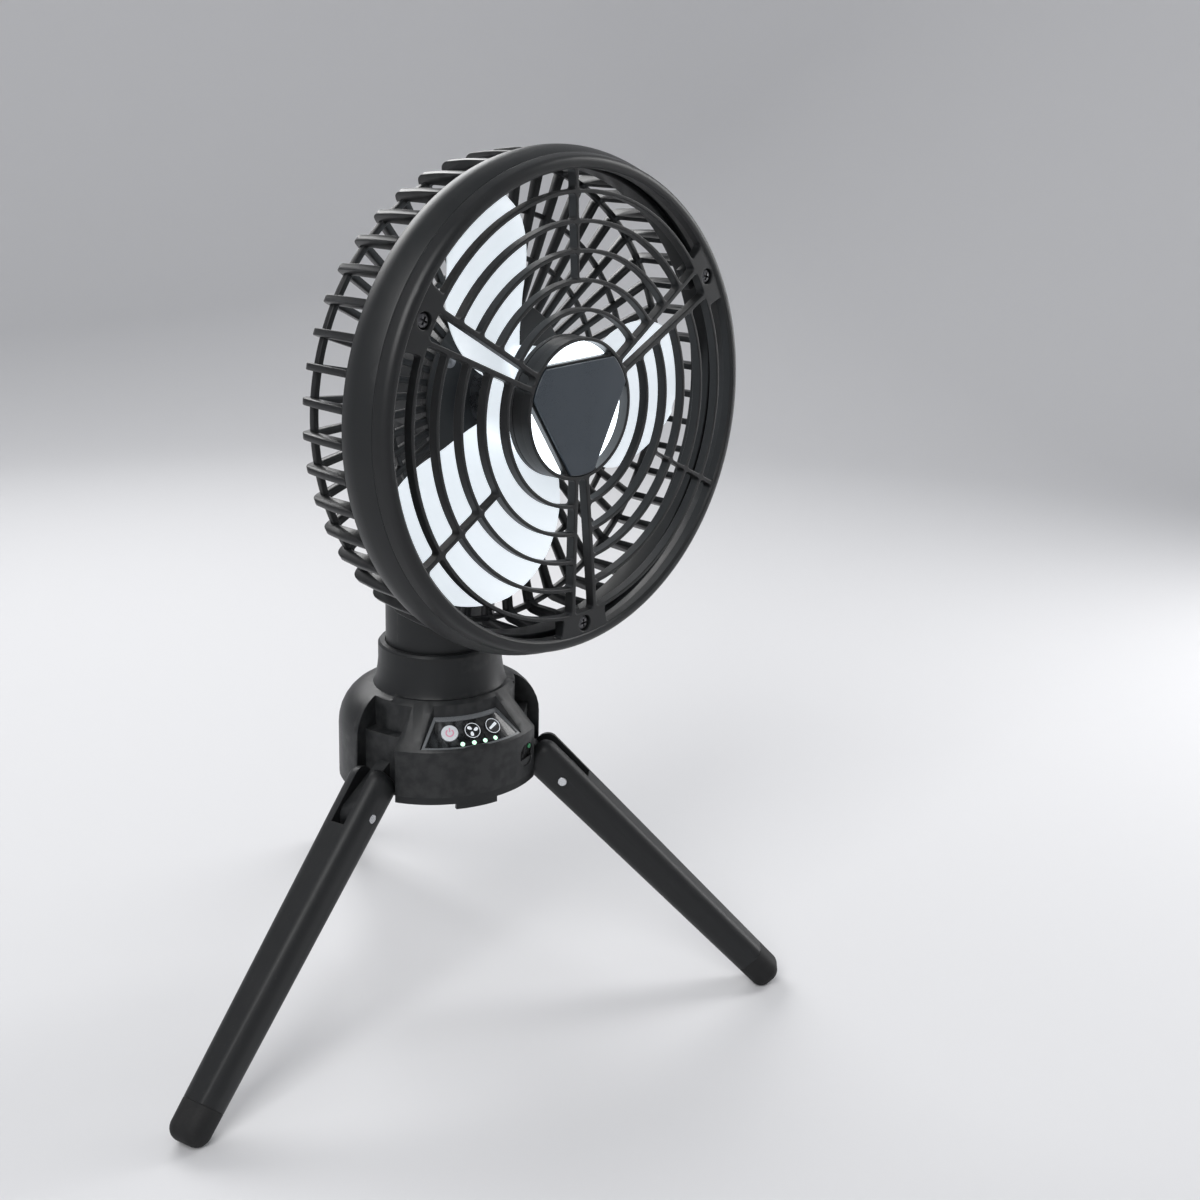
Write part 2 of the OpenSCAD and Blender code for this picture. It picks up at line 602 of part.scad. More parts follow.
module base_shell() color("#1c1e1f") difference() {
  union() {
    difference() {
      base_form(0);
      base_cavity();
      notches(0);
      translate([0, 0, -1]) cylinder(r = base_r + 1, h = floor_t + 1);
    }
    for (L = LEGS) rotate([0, 0, L[0]]) lug();
  }
  translate([0, 0, shelf_z + shelf_t]) cylinder(r = neck_r + seat, h = 40);
  translate([0, 0, shelf_z - 1]) cylinder(r = spigot_r + slip, h = 20);
  for (L = LEGS) rotate([0, 0, L[0]]) translate([pivot_r, 0, pivot_z]) rotate([90, 0, 0])
    cylinder(r = pin_r + slip, h = 30, center = true);
  panel_plate(frame_w + pair_gap, -fascia_t, 30);
  for (i = [-1:1]) panel_at(button_ring, button_turn * i) {
    translate([0, 0, -pocket_z]) cylinder(r = button_r + 0.9, h = 5);
    translate([0, 0, -pad_t - 2]) cylinder(r = 1.6, h = 8);
  }
  for (l = lights) panel_at(light_ring, l)
    translate([0, 0, -pad_t - 2]) cylinder(r = 1, h = 8, $fn = 24);
  for (a = [30, 150, 270]) rotate([0, 0, a]) translate([boss_ring, 0, -1])
    cylinder(r = screw_r + 0.1, h = skirt_z - 6);
  port_pose() translate([0, 0, -6]) cylinder(r = 5 + pair_gap, h = 20);
}
module base_bottom() color("#17191a") difference() {
  union() {
    cylinder(r = base_r, h = floor_t);
    for (a = [30, 150, 270]) rotate([0, 0, a]) intersection() {
      translate([base_r - 6, -9, -lip_h]) cube([8, 18, lip_h + 1]);
      ring(base_r - 0.2 - lip_t, base_r - 0.2, -1, lip_h);
    }
  }
  notches(0);
  for (a = [30, 150, 270]) rotate([0, 0, a]) translate([boss_ring, 0, -1]) {
    cylinder(r = screw_r + 0.1, h = 9);
    cylinder(r = 3.1, h = 2.6);
  }
}
module base_screws() color("#8f9499") for (a = [30, 150, 270]) rotate([0, 0, a])
  translate([boss_ring, 0, 0.2]) {
    cylinder(r = 2.8, h = 1.4);
    cylinder(r = screw_r, h = 11);
  }
module battery_cells() color("#2f6db5") for (s = [-1, 1])
  translate([s * (cell_r + 0.1), cell_len / 2 + cell_y, cell_z]) rotate([90, 0, 0])
    cylinder(r = cell_r, h = cell_len);
module charge_board() color("#1f5b3a")
  translate([-2 * cell_r + 0.4, -(cell_len - 25) * 0.35, board_z - 1.1])
    cube([4 * cell_r - 0.8, cell_len - 25, 1.4]);
module charge_port() color("#26292b") port_pose() {
  difference() {
    translate([0, 0, -4.6]) cylinder(r = 5, h = 4);
    translate([-1.7, -4, -4]) cube([3.4, 8, 6]);
  }
}
module charge_light() color("#35d069") port_pose()
  translate([-3, 2.2, -0.6]) cylinder(r = 1, h = 0.5, $fn = 24);

// ---- Control panel ----
module panel_frame() color("#5b6064") difference() {
  panel_plate(frame_w, -fascia_t, 0.5);
  panel_plate(0, -fascia_t - 1, 2);
}
module panel_fascia() color("#0d0e10") difference() {
  panel_plate(-pair_gap, -fascia_t, 0);
  for (i = [-1:1]) panel_at(button_ring, button_turn * i)
    translate([0, 0, -4]) cylinder(r = button_r + pair_gap, h = 8);
  for (l = lights) panel_at(light_ring, l) translate([0, 0, -4]) cylinder(r = 1, h = 8, $fn = 24);
}
module button(i) {
  panel_at(button_ring, button_turn * i) {
    translate([0, 0, -fascia_t - 0.4]) cylinder(r = button_r, h = fascia_t + 1);
    translate([0, 0, -fascia_t - 0.8]) cylinder(r = button_r + 0.75, h = 0.5);
    translate([0, 0, -pad_t - 0.4]) cylinder(r = 1.5, h = pad_t - fascia_t);
  }
}
module button_power() color("#e8ecef") button(-1);
module button_fan() color("#d9dee2") button(0);
module button_light() color("#d9dee2") button(1);
module level_lights() color("#7ff0a0") for (l = lights) panel_at(light_ring, l)
  translate([0, 0, -board_top]) cylinder(r = 0.9, h = board_top + 0.1, $fn = 24);
module button_switches() color("#b9bec4") for (i = [-1:1]) panel_at(button_ring, button_turn * i)
  translate([-2.2, -2.2, -board_top]) cube([4.4, 4.4, board_top - pad_t - 0.6 - button_travel]);
// A bent flexible board: it follows the panel behind the buttons
module control_board() color("#1f5b3a") intersection() {
  panel_layer(button_ring - 7, light_ring - board_top * panel_c + 1.2,
    -board_top - 0.7, -board_top);
  translate([-16, -base_r, 0]) cube([32, base_r, 60]);
}

// ---- Legs ----
module leg_pose(L) {
  rotate([0, 0, L[0]]) translate([pivot_r, 0, pivot_z]) rotate([0, -leg_splay, 0]) children();
}
// The whole tapered leg with its foot, along -Z from the pin, outer face to +X
module leg_blank() hull() for (sx = [-1, 1]) for (sy = [-1, 1]) {
  translate([sx * (leg_d / 2 - fork_round), sy * (leg_w / 2 - fork_round), fork_top - fork_round])
    sphere(r = fork_round, $fn = 28);
  translate([sx * (leg_d_foot / 2 - foot_round), sy * (leg_w_foot / 2 - foot_round), -leg_len])
    sphere(r = foot_round, $fn = 28);
}
module leg(L) color("#1e2021") leg_pose(L) difference() {
  union() {
    intersection() {
      leg_blank();
      translate([-30, -30, -foot_z]) cube([60, 60, foot_z + 40]);
    }
    translate([0, 0, -foot_z - spike_l]) cylinder(r = spike_r, h = spike_l + 2);
  }
  translate([-30, -slot_w / 2, -slot_low]) cube([60, slot_w, 60]);
  rotate([90, 0, 0]) cylinder(r = pin_r + slip, h = 40, center = true);
  for (s = [-1, 1]) translate([0, s * (leg_w / 2 - 1.2), 0]) rotate([-90 * s, 0, 0])
    cylinder(r = head_pin_r + 0.2, h = 10);
}
module foot(L) color("#111213") difference() {
  leg_pose(L) difference() {
    intersection() {
      leg_blank();
      translate([-30, -30, -foot_z - 40]) cube([60, 60, 40]);
    }
    translate([0, 0, -foot_z - spike_l - 0.2]) cylinder(r = spike_r + 0.1, h = spike_l + 2);
  }
  translate([-300, -300, -stand_h - 20]) cube([600, 600, 20]);
}
module leg_pins() color("#c3c8cc") for (L = LEGS) leg_pose(L) {
  rotate([90, 0, 0]) cylinder(r = pin_r, h = leg_w - 2.4 + 2 * e, center = true);
  for (s = [-1, 1]) translate([0, s * (leg_w / 2 - 1.2), 0]) rotate([-90 * s, 0, 0])
    cylinder(r = head_pin_r, h = 1);
}
module leg_left() leg(LEGS[0]);
module leg_right() leg(LEGS[1]);
module leg_rear() leg(LEGS[2]);
module foot_left() foot(LEGS[0]);
module foot_right() foot(LEGS[1]);
module foot_rear() foot(LEGS[2]);

front_grille();
grille_badge();
grille_screws();
front_band();
rear_grille();
lamp_lens();
lamp_cup();
lamp_board();
lamp_leds();
impeller();
impeller_cap();
motor_shaft();
motor_can();
motor_bushes();
motor_screws();
motor_leads();
neck_front();
neck_rear();
neck_screws();
pod_screws();
swivel_washer();
swivel_retainer();
retainer_screws();
base_shell();
base_bottom();
base_screws();
battery_cells();
charge_board();
charge_port();
charge_light();
control_board();
button_switches();
panel_frame();
panel_fascia();
level_lights();
button_power();
button_fan();
button_light();
leg_pins();
leg_left();
leg_right();
leg_rear();
foot_left();
foot_right();
foot_rear();
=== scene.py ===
# %% [markdown]
# # Portable camping fan
# A round fan head with a lamp in the middle of its grille stands on a swivelling neck, a battery
# base with a sloped control panel, and three folding legs. The solids come from the CAD model.
# This script dresses them: it loads the solids, makes the finishes, rebuilds the pieces that
# need softer edges or finer detail, and sets up a plain studio.

# %% Load the fixed frame
import bpy, bmesh, json
from math import sin, cos, tan, asin, acos, pi, radians
from mathutils import Matrix, Vector

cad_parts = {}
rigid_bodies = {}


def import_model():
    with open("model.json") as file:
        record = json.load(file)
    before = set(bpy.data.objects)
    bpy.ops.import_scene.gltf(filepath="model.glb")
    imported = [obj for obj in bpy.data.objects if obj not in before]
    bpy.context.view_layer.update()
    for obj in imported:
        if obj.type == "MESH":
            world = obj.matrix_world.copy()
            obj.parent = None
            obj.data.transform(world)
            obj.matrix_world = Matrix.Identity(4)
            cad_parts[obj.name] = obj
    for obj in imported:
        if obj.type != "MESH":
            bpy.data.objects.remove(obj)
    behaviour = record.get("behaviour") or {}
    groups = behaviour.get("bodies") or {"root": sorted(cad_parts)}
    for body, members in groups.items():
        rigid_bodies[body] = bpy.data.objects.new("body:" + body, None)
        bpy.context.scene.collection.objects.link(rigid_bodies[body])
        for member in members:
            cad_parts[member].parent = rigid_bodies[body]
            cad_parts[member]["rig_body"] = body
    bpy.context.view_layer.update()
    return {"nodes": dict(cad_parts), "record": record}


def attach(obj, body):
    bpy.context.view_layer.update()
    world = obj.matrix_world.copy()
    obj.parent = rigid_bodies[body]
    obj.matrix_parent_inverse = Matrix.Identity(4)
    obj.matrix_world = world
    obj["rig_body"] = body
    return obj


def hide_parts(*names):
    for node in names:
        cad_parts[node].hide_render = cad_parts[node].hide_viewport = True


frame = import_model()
nodes = frame["nodes"]
body_of = {n: o["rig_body"] for n, o in nodes.items()}
MM = 0.001

# %% [markdown]
# ## Where things stand
# The head's parts turn about the fan's axis, so they are drawn round +Z with the front face at
# zero and then moved by one matrix. The panel and the legs get matrices of their own. These
# repeat the CAD model's sizes, in millimetres.

# %% Sizes and places
STAND = 100.0                         # height of the base's underside above the floor
HEAD_Z, HEAD_FRONT = 169.0, 82.0      # height of the fan's axis; its face ahead of the neck
HEAD_YAW, HEAD_ROLL = radians(20), radians(2.8)
RIM_R, OPENING_R, SWELL, BAND_DEPTH, HEAD_DEPTH = 95.0, 90.7, 4.2, 20.0, 47.0
RING_FIRST, RING_COUNT, RING_T, RING_DEPTH = 27.0, 6, 1.5, 4.2
OUTER_GAP = 8.2                       # from the outermost ring to the opening's edge
RING_STEP = (OPENING_R - RING_FIRST - OUTER_GAP) / (RING_COUNT - 1)
RING_LAST = RING_FIRST + RING_STEP * (RING_COUNT - 1)
LAP_Z, BAND_IN = 5.4, RIM_R - 1.5     # where rim and band meet; inside radius of the band
CORNER_R = RIM_R + 1.2                # where the ribs turn in to the back
HUB_PLATE_R, HUB_Z, HUB_T = 38.0, HEAD_DEPTH - 1, 3.4
SPOKE_ANGLES = (-90, 30, 150)
SCREW_RING, SCREW_WELL, WELL_DEPTH = OPENING_R - 4, 3.2, 3.2
BASE_R, BASE_WALL, NECK_SEAM = 43.0, 2.4, 61.0
SCALE = Matrix.Scale(MM, 4)
HEAD = (SCALE @ Matrix.Translation((0, 0, HEAD_Z)) @ Matrix.Rotation(HEAD_YAW, 4, "Z")
        @ Matrix.Translation((0, -HEAD_FRONT, 0)) @ Matrix.Rotation(pi / 2, 4, "X"))
GRILLE = HEAD @ Matrix.Rotation(HEAD_ROLL, 4, "Z")

# %% [markdown]
# ## Finishes
# Nearly all of the fan is black injection-moulded plastic. Under light it isn't one flat black:
# the mould leaves a fine spark texture, the gloss drifts in soft patches, edges polish with
# handling and dust settles on what faces up. Each of these effects is one node group, used by
# every plastic with its own numbers.

# %% A helper that starts a node group
def start_group(name, inputs, outputs):
    tree = bpy.data.node_groups.new(name, "ShaderNodeTree")
    kinds = {"f": "NodeSocketFloat", "c": "NodeSocketColor", "v": "NodeSocketVector"}
    for title, kind, value in inputs:
        socket = tree.interface.new_socket(title, in_out="INPUT", socket_type=kinds[kind])
        if value is not None:
            socket.default_value = value
    for title, kind in outputs:
        tree.interface.new_socket(title, in_out="OUTPUT", socket_type=kinds[kind])
    return tree, tree.nodes.new("NodeGroupInput"), tree.nodes.new("NodeGroupOutput")

def put(tree, kind, values=None, **settings):
    node = tree.nodes.new(kind)
    for key, value in settings.items():
        setattr(node, key, value)
    for key, value in (values or {}).items():
        node.inputs[key].default_value = value
    return node

def ramp(tree, source, low, high, to_low=0.0, to_high=1.0):
    node = put(tree, "ShaderNodeMapRange", {"From Min": low, "From Max": high,
                                            "To Min": to_low, "To Max": to_high})
    tree.links.new(source, node.inputs["Value"])
    return node.outputs["Result"]

def maths(tree, operation, a, b):
    node = put(tree, "ShaderNodeMath", operation=operation)
    for socket, value in zip(node.inputs, (a, b)):
        if isinstance(value, (int, float)):
            socket.default_value = value
        else:
            tree.links.new(value, socket)
    return node.outputs[0]

def blend_colour(tree, factor, a, b):
    """Mixes two colours. A Mix node keeps them on sockets 6 and 7, and gives them out on 2."""
    node = put(tree, "ShaderNodeMix", data_type="RGBA")
    for key, value in ((0, factor), (6, a), (7, b)):
        if isinstance(value, (int, float, tuple)):
            node.inputs[key].default_value = value
        else:
            tree.links.new(value, node.inputs[key])
    return node.outputs[2]

# %% Moulded grain: spark texture and drifting gloss
def build_grain():
    """Noise at the grain's own size, and patches some 26 mm wide (38 to a metre)."""
    tree, enter, leave = start_group(
        "moulded_grain",
        [("Coordinates", "v", None), ("Colour", "c", (0.02, 0.02, 0.02, 1)),
         ("Roughness", "f", 0.5), ("Grain size mm", "f", 0.4), ("Drift", "f", 0.12)],
        [("Colour", "c"), ("Roughness", "f"), ("Height", "f")])
    link = tree.links.new
    scale = maths(tree, "DIVIDE", 1000.0, enter.outputs["Grain size mm"])
    fine = put(tree, "ShaderNodeTexNoise", {"Detail": 2.0, "Roughness": 0.6})
    link(enter.outputs["Coordinates"], fine.inputs["Vector"])
    link(scale, fine.inputs["Scale"])
    wide = put(tree, "ShaderNodeTexNoise", {"Scale": 38.0, "Detail": 4.0, "Roughness": 0.55})
    link(enter.outputs["Coordinates"], wide.inputs["Vector"])
    patch = ramp(tree, wide.outputs["Fac"], 0.35, 0.68, -1.0, 1.0)
    drift = maths(tree, "MULTIPLY", patch, enter.outputs["Drift"])
    grit = ramp(tree, fine.outputs["Fac"], 0.3, 0.7, -0.05, 0.05)
    link(maths(tree, "ADD", maths(tree, "ADD", enter.outputs["Roughness"], drift), grit),
         leave.inputs["Roughness"])
    lift = maths(tree, "ADD", maths(tree, "MULTIPLY", drift, 1.2), grit)
    light = put(tree, "ShaderNodeHueSaturation")
    link(enter.outputs["Colour"], light.inputs["Color"])
    link(maths(tree, "ADD", lift, 1.0), light.inputs["Value"])
    link(light.outputs["Color"], leave.inputs["Colour"])
    link(fine.outputs["Fac"], leave.inputs["Height"])
    return tree
GRAIN = build_grain()

# %% Worn edges: convex edges polish to a lighter, glossier line
def build_wear():
    """Pointiness is 0.5 on a flat face and rises on a convex edge; the wear is patchy."""
    tree, enter, leave = start_group(
        "worn_edges",
        [("Coordinates", "v", None), ("Colour", "c", None), ("Roughness", "f", 0.5),
         ("Worn colour", "c", (0.09, 0.09, 0.09, 1)), ("Amount", "f", 0.5)],
        [("Colour", "c"), ("Roughness", "f")])
    link = tree.links.new
    shape = put(tree, "ShaderNodeNewGeometry")
    edge = ramp(tree, shape.outputs["Pointiness"], 0.545, 0.62)
    patchy = put(tree, "ShaderNodeTexNoise", {"Scale": 220.0, "Detail": 3.0})
    link(enter.outputs["Coordinates"], patchy.inputs["Vector"])
    broken = ramp(tree, patchy.outputs["Fac"], 0.38, 0.62)
    worn = maths(tree, "MULTIPLY", maths(tree, "MULTIPLY", edge, broken), enter.outputs["Amount"])
    link(blend_colour(tree, worn, enter.outputs["Colour"], enter.outputs["Worn colour"]),
         leave.inputs["Colour"])
    link(maths(tree, "SUBTRACT", enter.outputs["Roughness"], maths(tree, "MULTIPLY", worn, 0.18)),
         leave.inputs["Roughness"])
    return tree
WEAR = build_wear()

# %% Settled dust: faint specks and film on faces that look up
def build_dust():
    """A film in patches of 11 mm and specks 2.4 mm apart, masked by how far a face looks up."""
    tree, enter, leave = start_group(
        "settled_dust",
        [("Coordinates", "v", None), ("Normal", "v", None), ("Colour", "c", None),
         ("Roughness", "f", 0.5), ("Amount", "f", 0.3)],
        [("Colour", "c"), ("Roughness", "f")])
    link = tree.links.new
    split = put(tree, "ShaderNodeSeparateXYZ")
    link(enter.outputs["Normal"], split.inputs[0])
    up = ramp(tree, split.outputs["Z"], 0.1, 0.95)
    film = put(tree, "ShaderNodeTexNoise", {"Scale": 90.0, "Detail": 5.0, "Roughness": 0.7})
    specks = put(tree, "ShaderNodeTexVoronoi", {"Scale": 420.0, "Randomness": 1.0})
    link(enter.outputs["Coordinates"], film.inputs["Vector"])
    link(enter.outputs["Coordinates"], specks.inputs["Vector"])
    spots = ramp(tree, specks.outputs["Distance"], 0.10, 0.16, 1.0, 0.0)
    veil = ramp(tree, film.outputs["Fac"], 0.45, 0.75, 0.0, 0.35)
    dirt = maths(tree, "MAXIMUM", veil, maths(tree, "MULTIPLY", spots, 0.5))
    mask = maths(tree, "MULTIPLY", maths(tree, "MULTIPLY", dirt, up), enter.outputs["Amount"])
    dust_colour = (0.34, 0.32, 0.29, 1)
    link(blend_colour(tree, mask, enter.outputs["Colour"], dust_colour),
         leave.inputs["Colour"])
    link(maths(tree, "ADD", enter.outputs["Roughness"], maths(tree, "MULTIPLY", mask, 0.35)),
         leave.inputs["Roughness"])
    return tree
DUST = build_dust()
print("effects:", GRAIN.name, WEAR.name, DUST.name)

# %% [markdown]
# A finish is then one call: base colour, gloss, grain size and depth in millimetres, drift, edge
# wear and dust go in, and a material comes out. The Principled shader stays in the material.

# %% A helper that makes a finish
def finish(name, colour, rough=0.5, grain=0.4, depth=0.03, drift=0.035, wear=0.4, dust=0.2,
           metal=0.0, worn=(0.09, 0.09, 0.09), specular=0.5, glow=None, glow_power=0.0):
    mat = bpy.data.materials.new(name)
    mat.use_nodes = True
    tree = mat.node_tree
    link = tree.links.new
    shader = tree.nodes["Principled BSDF"]
    where = put(tree, "ShaderNodeTexCoord")
    skin = put(tree, "ShaderNodeGroup", node_tree=GRAIN)
    skin.inputs["Colour"].default_value = (*colour, 1)
    skin.inputs["Roughness"].default_value = rough
    skin.inputs["Grain size mm"].default_value = grain
    skin.inputs["Drift"].default_value = drift
    link(where.outputs["Object"], skin.inputs["Coordinates"])
    edges = put(tree, "ShaderNodeGroup", node_tree=WEAR)
    edges.inputs["Worn colour"].default_value = (*worn, 1)
    edges.inputs["Amount"].default_value = wear
    film = put(tree, "ShaderNodeGroup", node_tree=DUST)
    film.inputs["Amount"].default_value = dust
    for a, b in ((skin, edges), (edges, film)):
        link(a.outputs["Colour"], b.inputs["Colour"])
        link(a.outputs["Roughness"], b.inputs["Roughness"])
        link(where.outputs["Object"], b.inputs["Coordinates"])
    link(where.outputs["Normal"], film.inputs["Normal"])
    link(film.outputs["Colour"], shader.inputs["Base Color"])
    link(film.outputs["Roughness"], shader.inputs["Roughness"])
    bump = put(tree, "ShaderNodeBump", {"Strength": 0.6, "Distance": depth * MM})
    link(skin.outputs["Height"], bump.inputs["Height"])
    link(bump.outputs["Normal"], shader.inputs["Normal"])
    shader.inputs["Metallic"].default_value = metal
    shader.inputs["Specular IOR Level"].default_value = specular
    if glow:
        shader.inputs["Emission Color"].default_value = (*glow, 1)
        shader.inputs["Emission Strength"].default_value = glow_power
    return mat

# %% The fan's finishes, by the record's slots
BLACK = (0.0098, 0.0108, 0.0116)
FINISH = {
    "shell_black": finish("shell_black", BLACK, 0.44, 0.35, 0.01, 0.012, wear=0.15, dust=0.05,
                          specular=0.34),
    "grille_black": finish("grille_black", (0.0088, 0.0095, 0.0102), 0.4, 0.35, 0.012, 0.015,
                           wear=0.2, dust=0.06, specular=0.36),
    "leg_black": finish("leg_black", (0.0095, 0.0102, 0.011), 0.46, 0.4, 0.015, 0.015, wear=0.25,
                        dust=0.06, specular=0.34),
    "inner_black": finish("inner_black", (0.02, 0.02, 0.021), 0.5, 0.5, 0.02),
    "badge_black": finish("badge_black", (0.030, 0.040, 0.052), 0.32, 0.25, 0.012, wear=0.3,
                          dust=0.1),
    "fascia_black": finish("fascia_black", (0.008, 0.009, 0.010), 0.12, 0.3, 0.002, dust=0.12),
    "frame_grey": finish("frame_grey", (0.13, 0.138, 0.145), 0.3, 0.3, 0.01, dust=0.1),
    "port_black": finish("port_black", (0.018, 0.019, 0.02), 0.45, 0.3, 0.02),
    "lens_white": finish("lens_white", (0.86, 0.89, 0.93), 0.35, 0.5, 0.02, 0.03, 0.0, 0.1,
                         glow=(0.84, 0.93, 1.0), glow_power=3.0),
    # The blades and the fan's hub glow faintly. This is painted light: it stands for the lamp's
    # light falling on them behind the grille, on top of their white colour.
    "blade_white": finish("blade_white", (0.82, 0.85, 0.88), 0.24, 0.6, 0.008, 0.03, 0.1, 0.1,
                          worn=(0.88, 0.89, 0.9), glow=(0.86, 0.94, 1.0), glow_power=0.62),
    "cap_grey": finish("cap_grey", (0.5, 0.52, 0.55), 0.3, 0.4, 0.01, worn=(0.7, 0.7, 0.7)),
    "button_white": finish("button_white", (0.70, 0.73, 0.76), 0.32, 0.3, 0.01, 0.03, 0.2, 0.1,
                           worn=(0.8, 0.8, 0.8)),
    "button_black": finish("button_black", (0.012, 0.013, 0.014), 0.3, 0.3, 0.01, 0.03, 0.2, 0.1),
    "mark_rose": finish("mark_rose", (0.75, 0.30, 0.42), 0.4, 0.3, 0.0, 0.02, 0.0, 0.0),
    "mark_white": finish("mark_white", (0.80, 0.82, 0.84), 0.4, 0.3, 0.0, 0.02, 0.0, 0.0,
                         glow=(0.8, 0.9, 1.0), glow_power=0.25),
    "light_green": finish("light_green", (0.5, 0.9, 0.65), 0.25, 0.3, 0.0, 0.02, 0.0, 0.0,
                          glow=(0.62, 1.0, 0.74), glow_power=1.0),
    "charge_green": finish("charge_green", (0.03, 0.22, 0.09), 0.25, 0.3, 0.0, 0.02, 0.0, 0.0),
    "led_yellow": finish("led_yellow", (0.95, 0.85, 0.45), 0.2, 0.3, 0.0, 0.02, 0.0, 0.0),
    "board_white": finish("board_white", (0.78, 0.79, 0.77), 0.35, 0.3, 0.005),
    "board_green": finish("board_green", (0.02, 0.12, 0.06), 0.3, 0.5, 0.01),
    "cell_blue": finish("cell_blue", (0.03, 0.16, 0.4), 0.3, 0.6, 0.01),
    "wire_red": finish("wire_red", (0.4, 0.02, 0.02), 0.4, 0.6, 0.01),
    "washer_nylon": finish("washer_nylon", (0.62, 0.6, 0.54), 0.4, 0.4, 0.01),
    "foot_rubber": finish("foot_rubber", (0.0095, 0.0096, 0.010), 0.68, 0.5, 0.05, 0.06, 0.3, 0.15,
                          worn=(0.09, 0.088, 0.085), specular=0.3),
    "screw_steel": finish("screw_steel", (0.10, 0.10, 0.105), 0.38, 0.3, 0.01, metal=1.0,
                          worn=(0.45, 0.45, 0.46)),
    "pin_steel": finish("pin_steel", (0.62, 0.63, 0.65), 0.26, 0.25, 0.008, metal=1.0,
                        worn=(0.8, 0.8, 0.8)),
    "shaft_steel": finish("shaft_steel", (0.55, 0.57, 0.6), 0.2, 0.2, 0.004, metal=1.0),
    "motor_steel": finish("motor_steel", (0.42, 0.44, 0.47), 0.32, 0.3, 0.01, metal=1.0),
    "switch_metal": finish("switch_metal", (0.5, 0.52, 0.54), 0.35, 0.3, 0.01, metal=1.0),
    "bush_bronze": finish("bush_bronze", (0.45, 0.28, 0.1), 0.4, 0.3, 0.02, metal=1.0),
}
SLOT_OF = {s["node"]: s["material_slot"] for s in frame["record"]["subparts"]}
for name, solid in nodes.items():
    for place in solid.material_slots:
        place.material = FINISH[SLOT_OF[name]]
# The charging light is dark while the fan runs from its battery
nodes["charge_light"].material_slots[0].material = FINISH["charge_green"]
print("finishes:", len(FINISH))

# %% [markdown]
# ## Two ways to make a piece
# Where a solid's shape is right but its edges are too sharp, a copy of it is cleaned and given
# small bevels: a moulded edge is never a knife edge, and the bevel is what catches the light.
# The CAD meshes are loose triangles, so the copy is merged first and its flat faces are joined
# back into whole ones. Pieces that repeat or turn round an axis are made from scratch.

# %% Helpers for meshes
def new_object(name, mesh, mat, body, replaces=(), smooth=35):
    obj = bpy.data.objects.new(name, mesh)
    bpy.context.scene.collection.objects.link(obj)
    mesh.materials.clear()
    mesh.materials.append(mat)
    if smooth:
        mesh.shade_smooth()
        mesh.set_sharp_from_angle(angle=radians(smooth))
    obj["made_for"] = body
    obj["made_over"] = list(replaces)
    return obj

def settle(obj):
    """Gives a finished piece to its body, in place of the nodes it was made over."""
    body, over = obj["made_for"], list(obj["made_over"])
    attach(obj, body)
    if over:
        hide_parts(*over)
    return obj

def applied(obj):
    """The object with its modifiers worked into a plain mesh."""
    depsgraph = bpy.context.evaluated_depsgraph_get()
    mesh = bpy.data.meshes.new_from_object(obj.evaluated_get(depsgraph))
    obj.modifiers.clear()
    old, obj.data = obj.data, mesh
    mesh.name = old.name
    bpy.data.meshes.remove(old)
    return obj

def soften(obj, width):
    """Bevels every edge sharper than 30 degrees."""
    bevel = obj.modifiers.new("soft edges", "BEVEL")
    bevel.width, bevel.segments = width * MM, 2
    bevel.limit_method, bevel.angle_limit = "ANGLE", radians(30)
    bevel.use_clamp_overlap = True
    bevel.harden_normals = True
    return applied(obj)

def dress(node, width):
    """A softened copy of a CAD node that stands in its place."""
    same_place, same_plane = 2e-6, radians(0.6)
    bm = bmesh.new()
    bm.from_mesh(nodes[node].data)
    bmesh.ops.remove_doubles(bm, verts=bm.verts, dist=same_place)
    bmesh.ops.dissolve_limit(bm, angle_limit=same_plane, verts=bm.verts, edges=bm.edges)
    mesh = bpy.data.meshes.new(node + "_soft")
    bm.to_mesh(mesh)
    bm.free()
    obj = new_object(node + "_soft", mesh, FINISH[SLOT_OF[node]], body_of[node], [node])
    soften(obj, width)
    return settle(obj)

def lathe(profile, steps=128, close=True):
    """A shape turned round +Z from (radius, z) points, as a bmesh in the points' own unit."""
    bm = bmesh.new()
    verts = [bm.verts.new((r, 0, z)) for r, z in profile]
    edges = [bm.edges.new((a, b)) for a, b in zip(verts, verts[1:])]
    if close:
        edges.append(bm.edges.new((verts[-1], verts[0])))
    bmesh.ops.spin(bm, geom=verts + edges, cent=(0, 0, 0), axis=(0, 0, 1), angle=2 * pi,
                   steps=steps, use_merge=True)
    bmesh.ops.remove_doubles(bm, verts=bm.verts, dist=1e-4)
    bmesh.ops.recalc_face_normals(bm, faces=bm.faces)
    return bm

def rounded(points, radii):
    """A closed outline with its corners rounded off, none by more than 0.45 of a side."""
    out, steps = [], 4
    for i, point in enumerate(points):
        r = radii if isinstance(radii, (int, float)) else radii[i]
        p = Vector(point)
        a = Vector(points[i - 1]) - p
        b = Vector(points[(i + 1) % len(points)]) - p
        r = min(r, a.length * 0.45, b.length * 0.45)
        if r < 1e-4:
            out.append(tuple(p))
            continue
        s, e = p + a.normalized() * r, p + b.normalized() * r
        for k in range(steps + 1):
            t = k / steps
            out.append(tuple(s * (1 - t) ** 2 + p * 2 * t * (1 - t) + e * t * t))
    return out

def spun(points, angle):
    """Flat points turned about the origin."""
    return [(x * cos(angle) - y * sin(angle), x * sin(angle) + y * cos(angle))
            for x, y in points]

def disc_at(x, r, steps):
    """The outline of a round hole or peg whose middle stands on the x axis."""
    turn = 360 // steps
    return [(x + r * cos(radians(turn * k)), r * sin(radians(turn * k))) for k in range(steps)]

def to_mesh(bm, name, matrix):
    bm.transform(matrix)
    mesh = bpy.data.meshes.new(name)
    bm.to_mesh(mesh)
    bm.free()
    return mesh

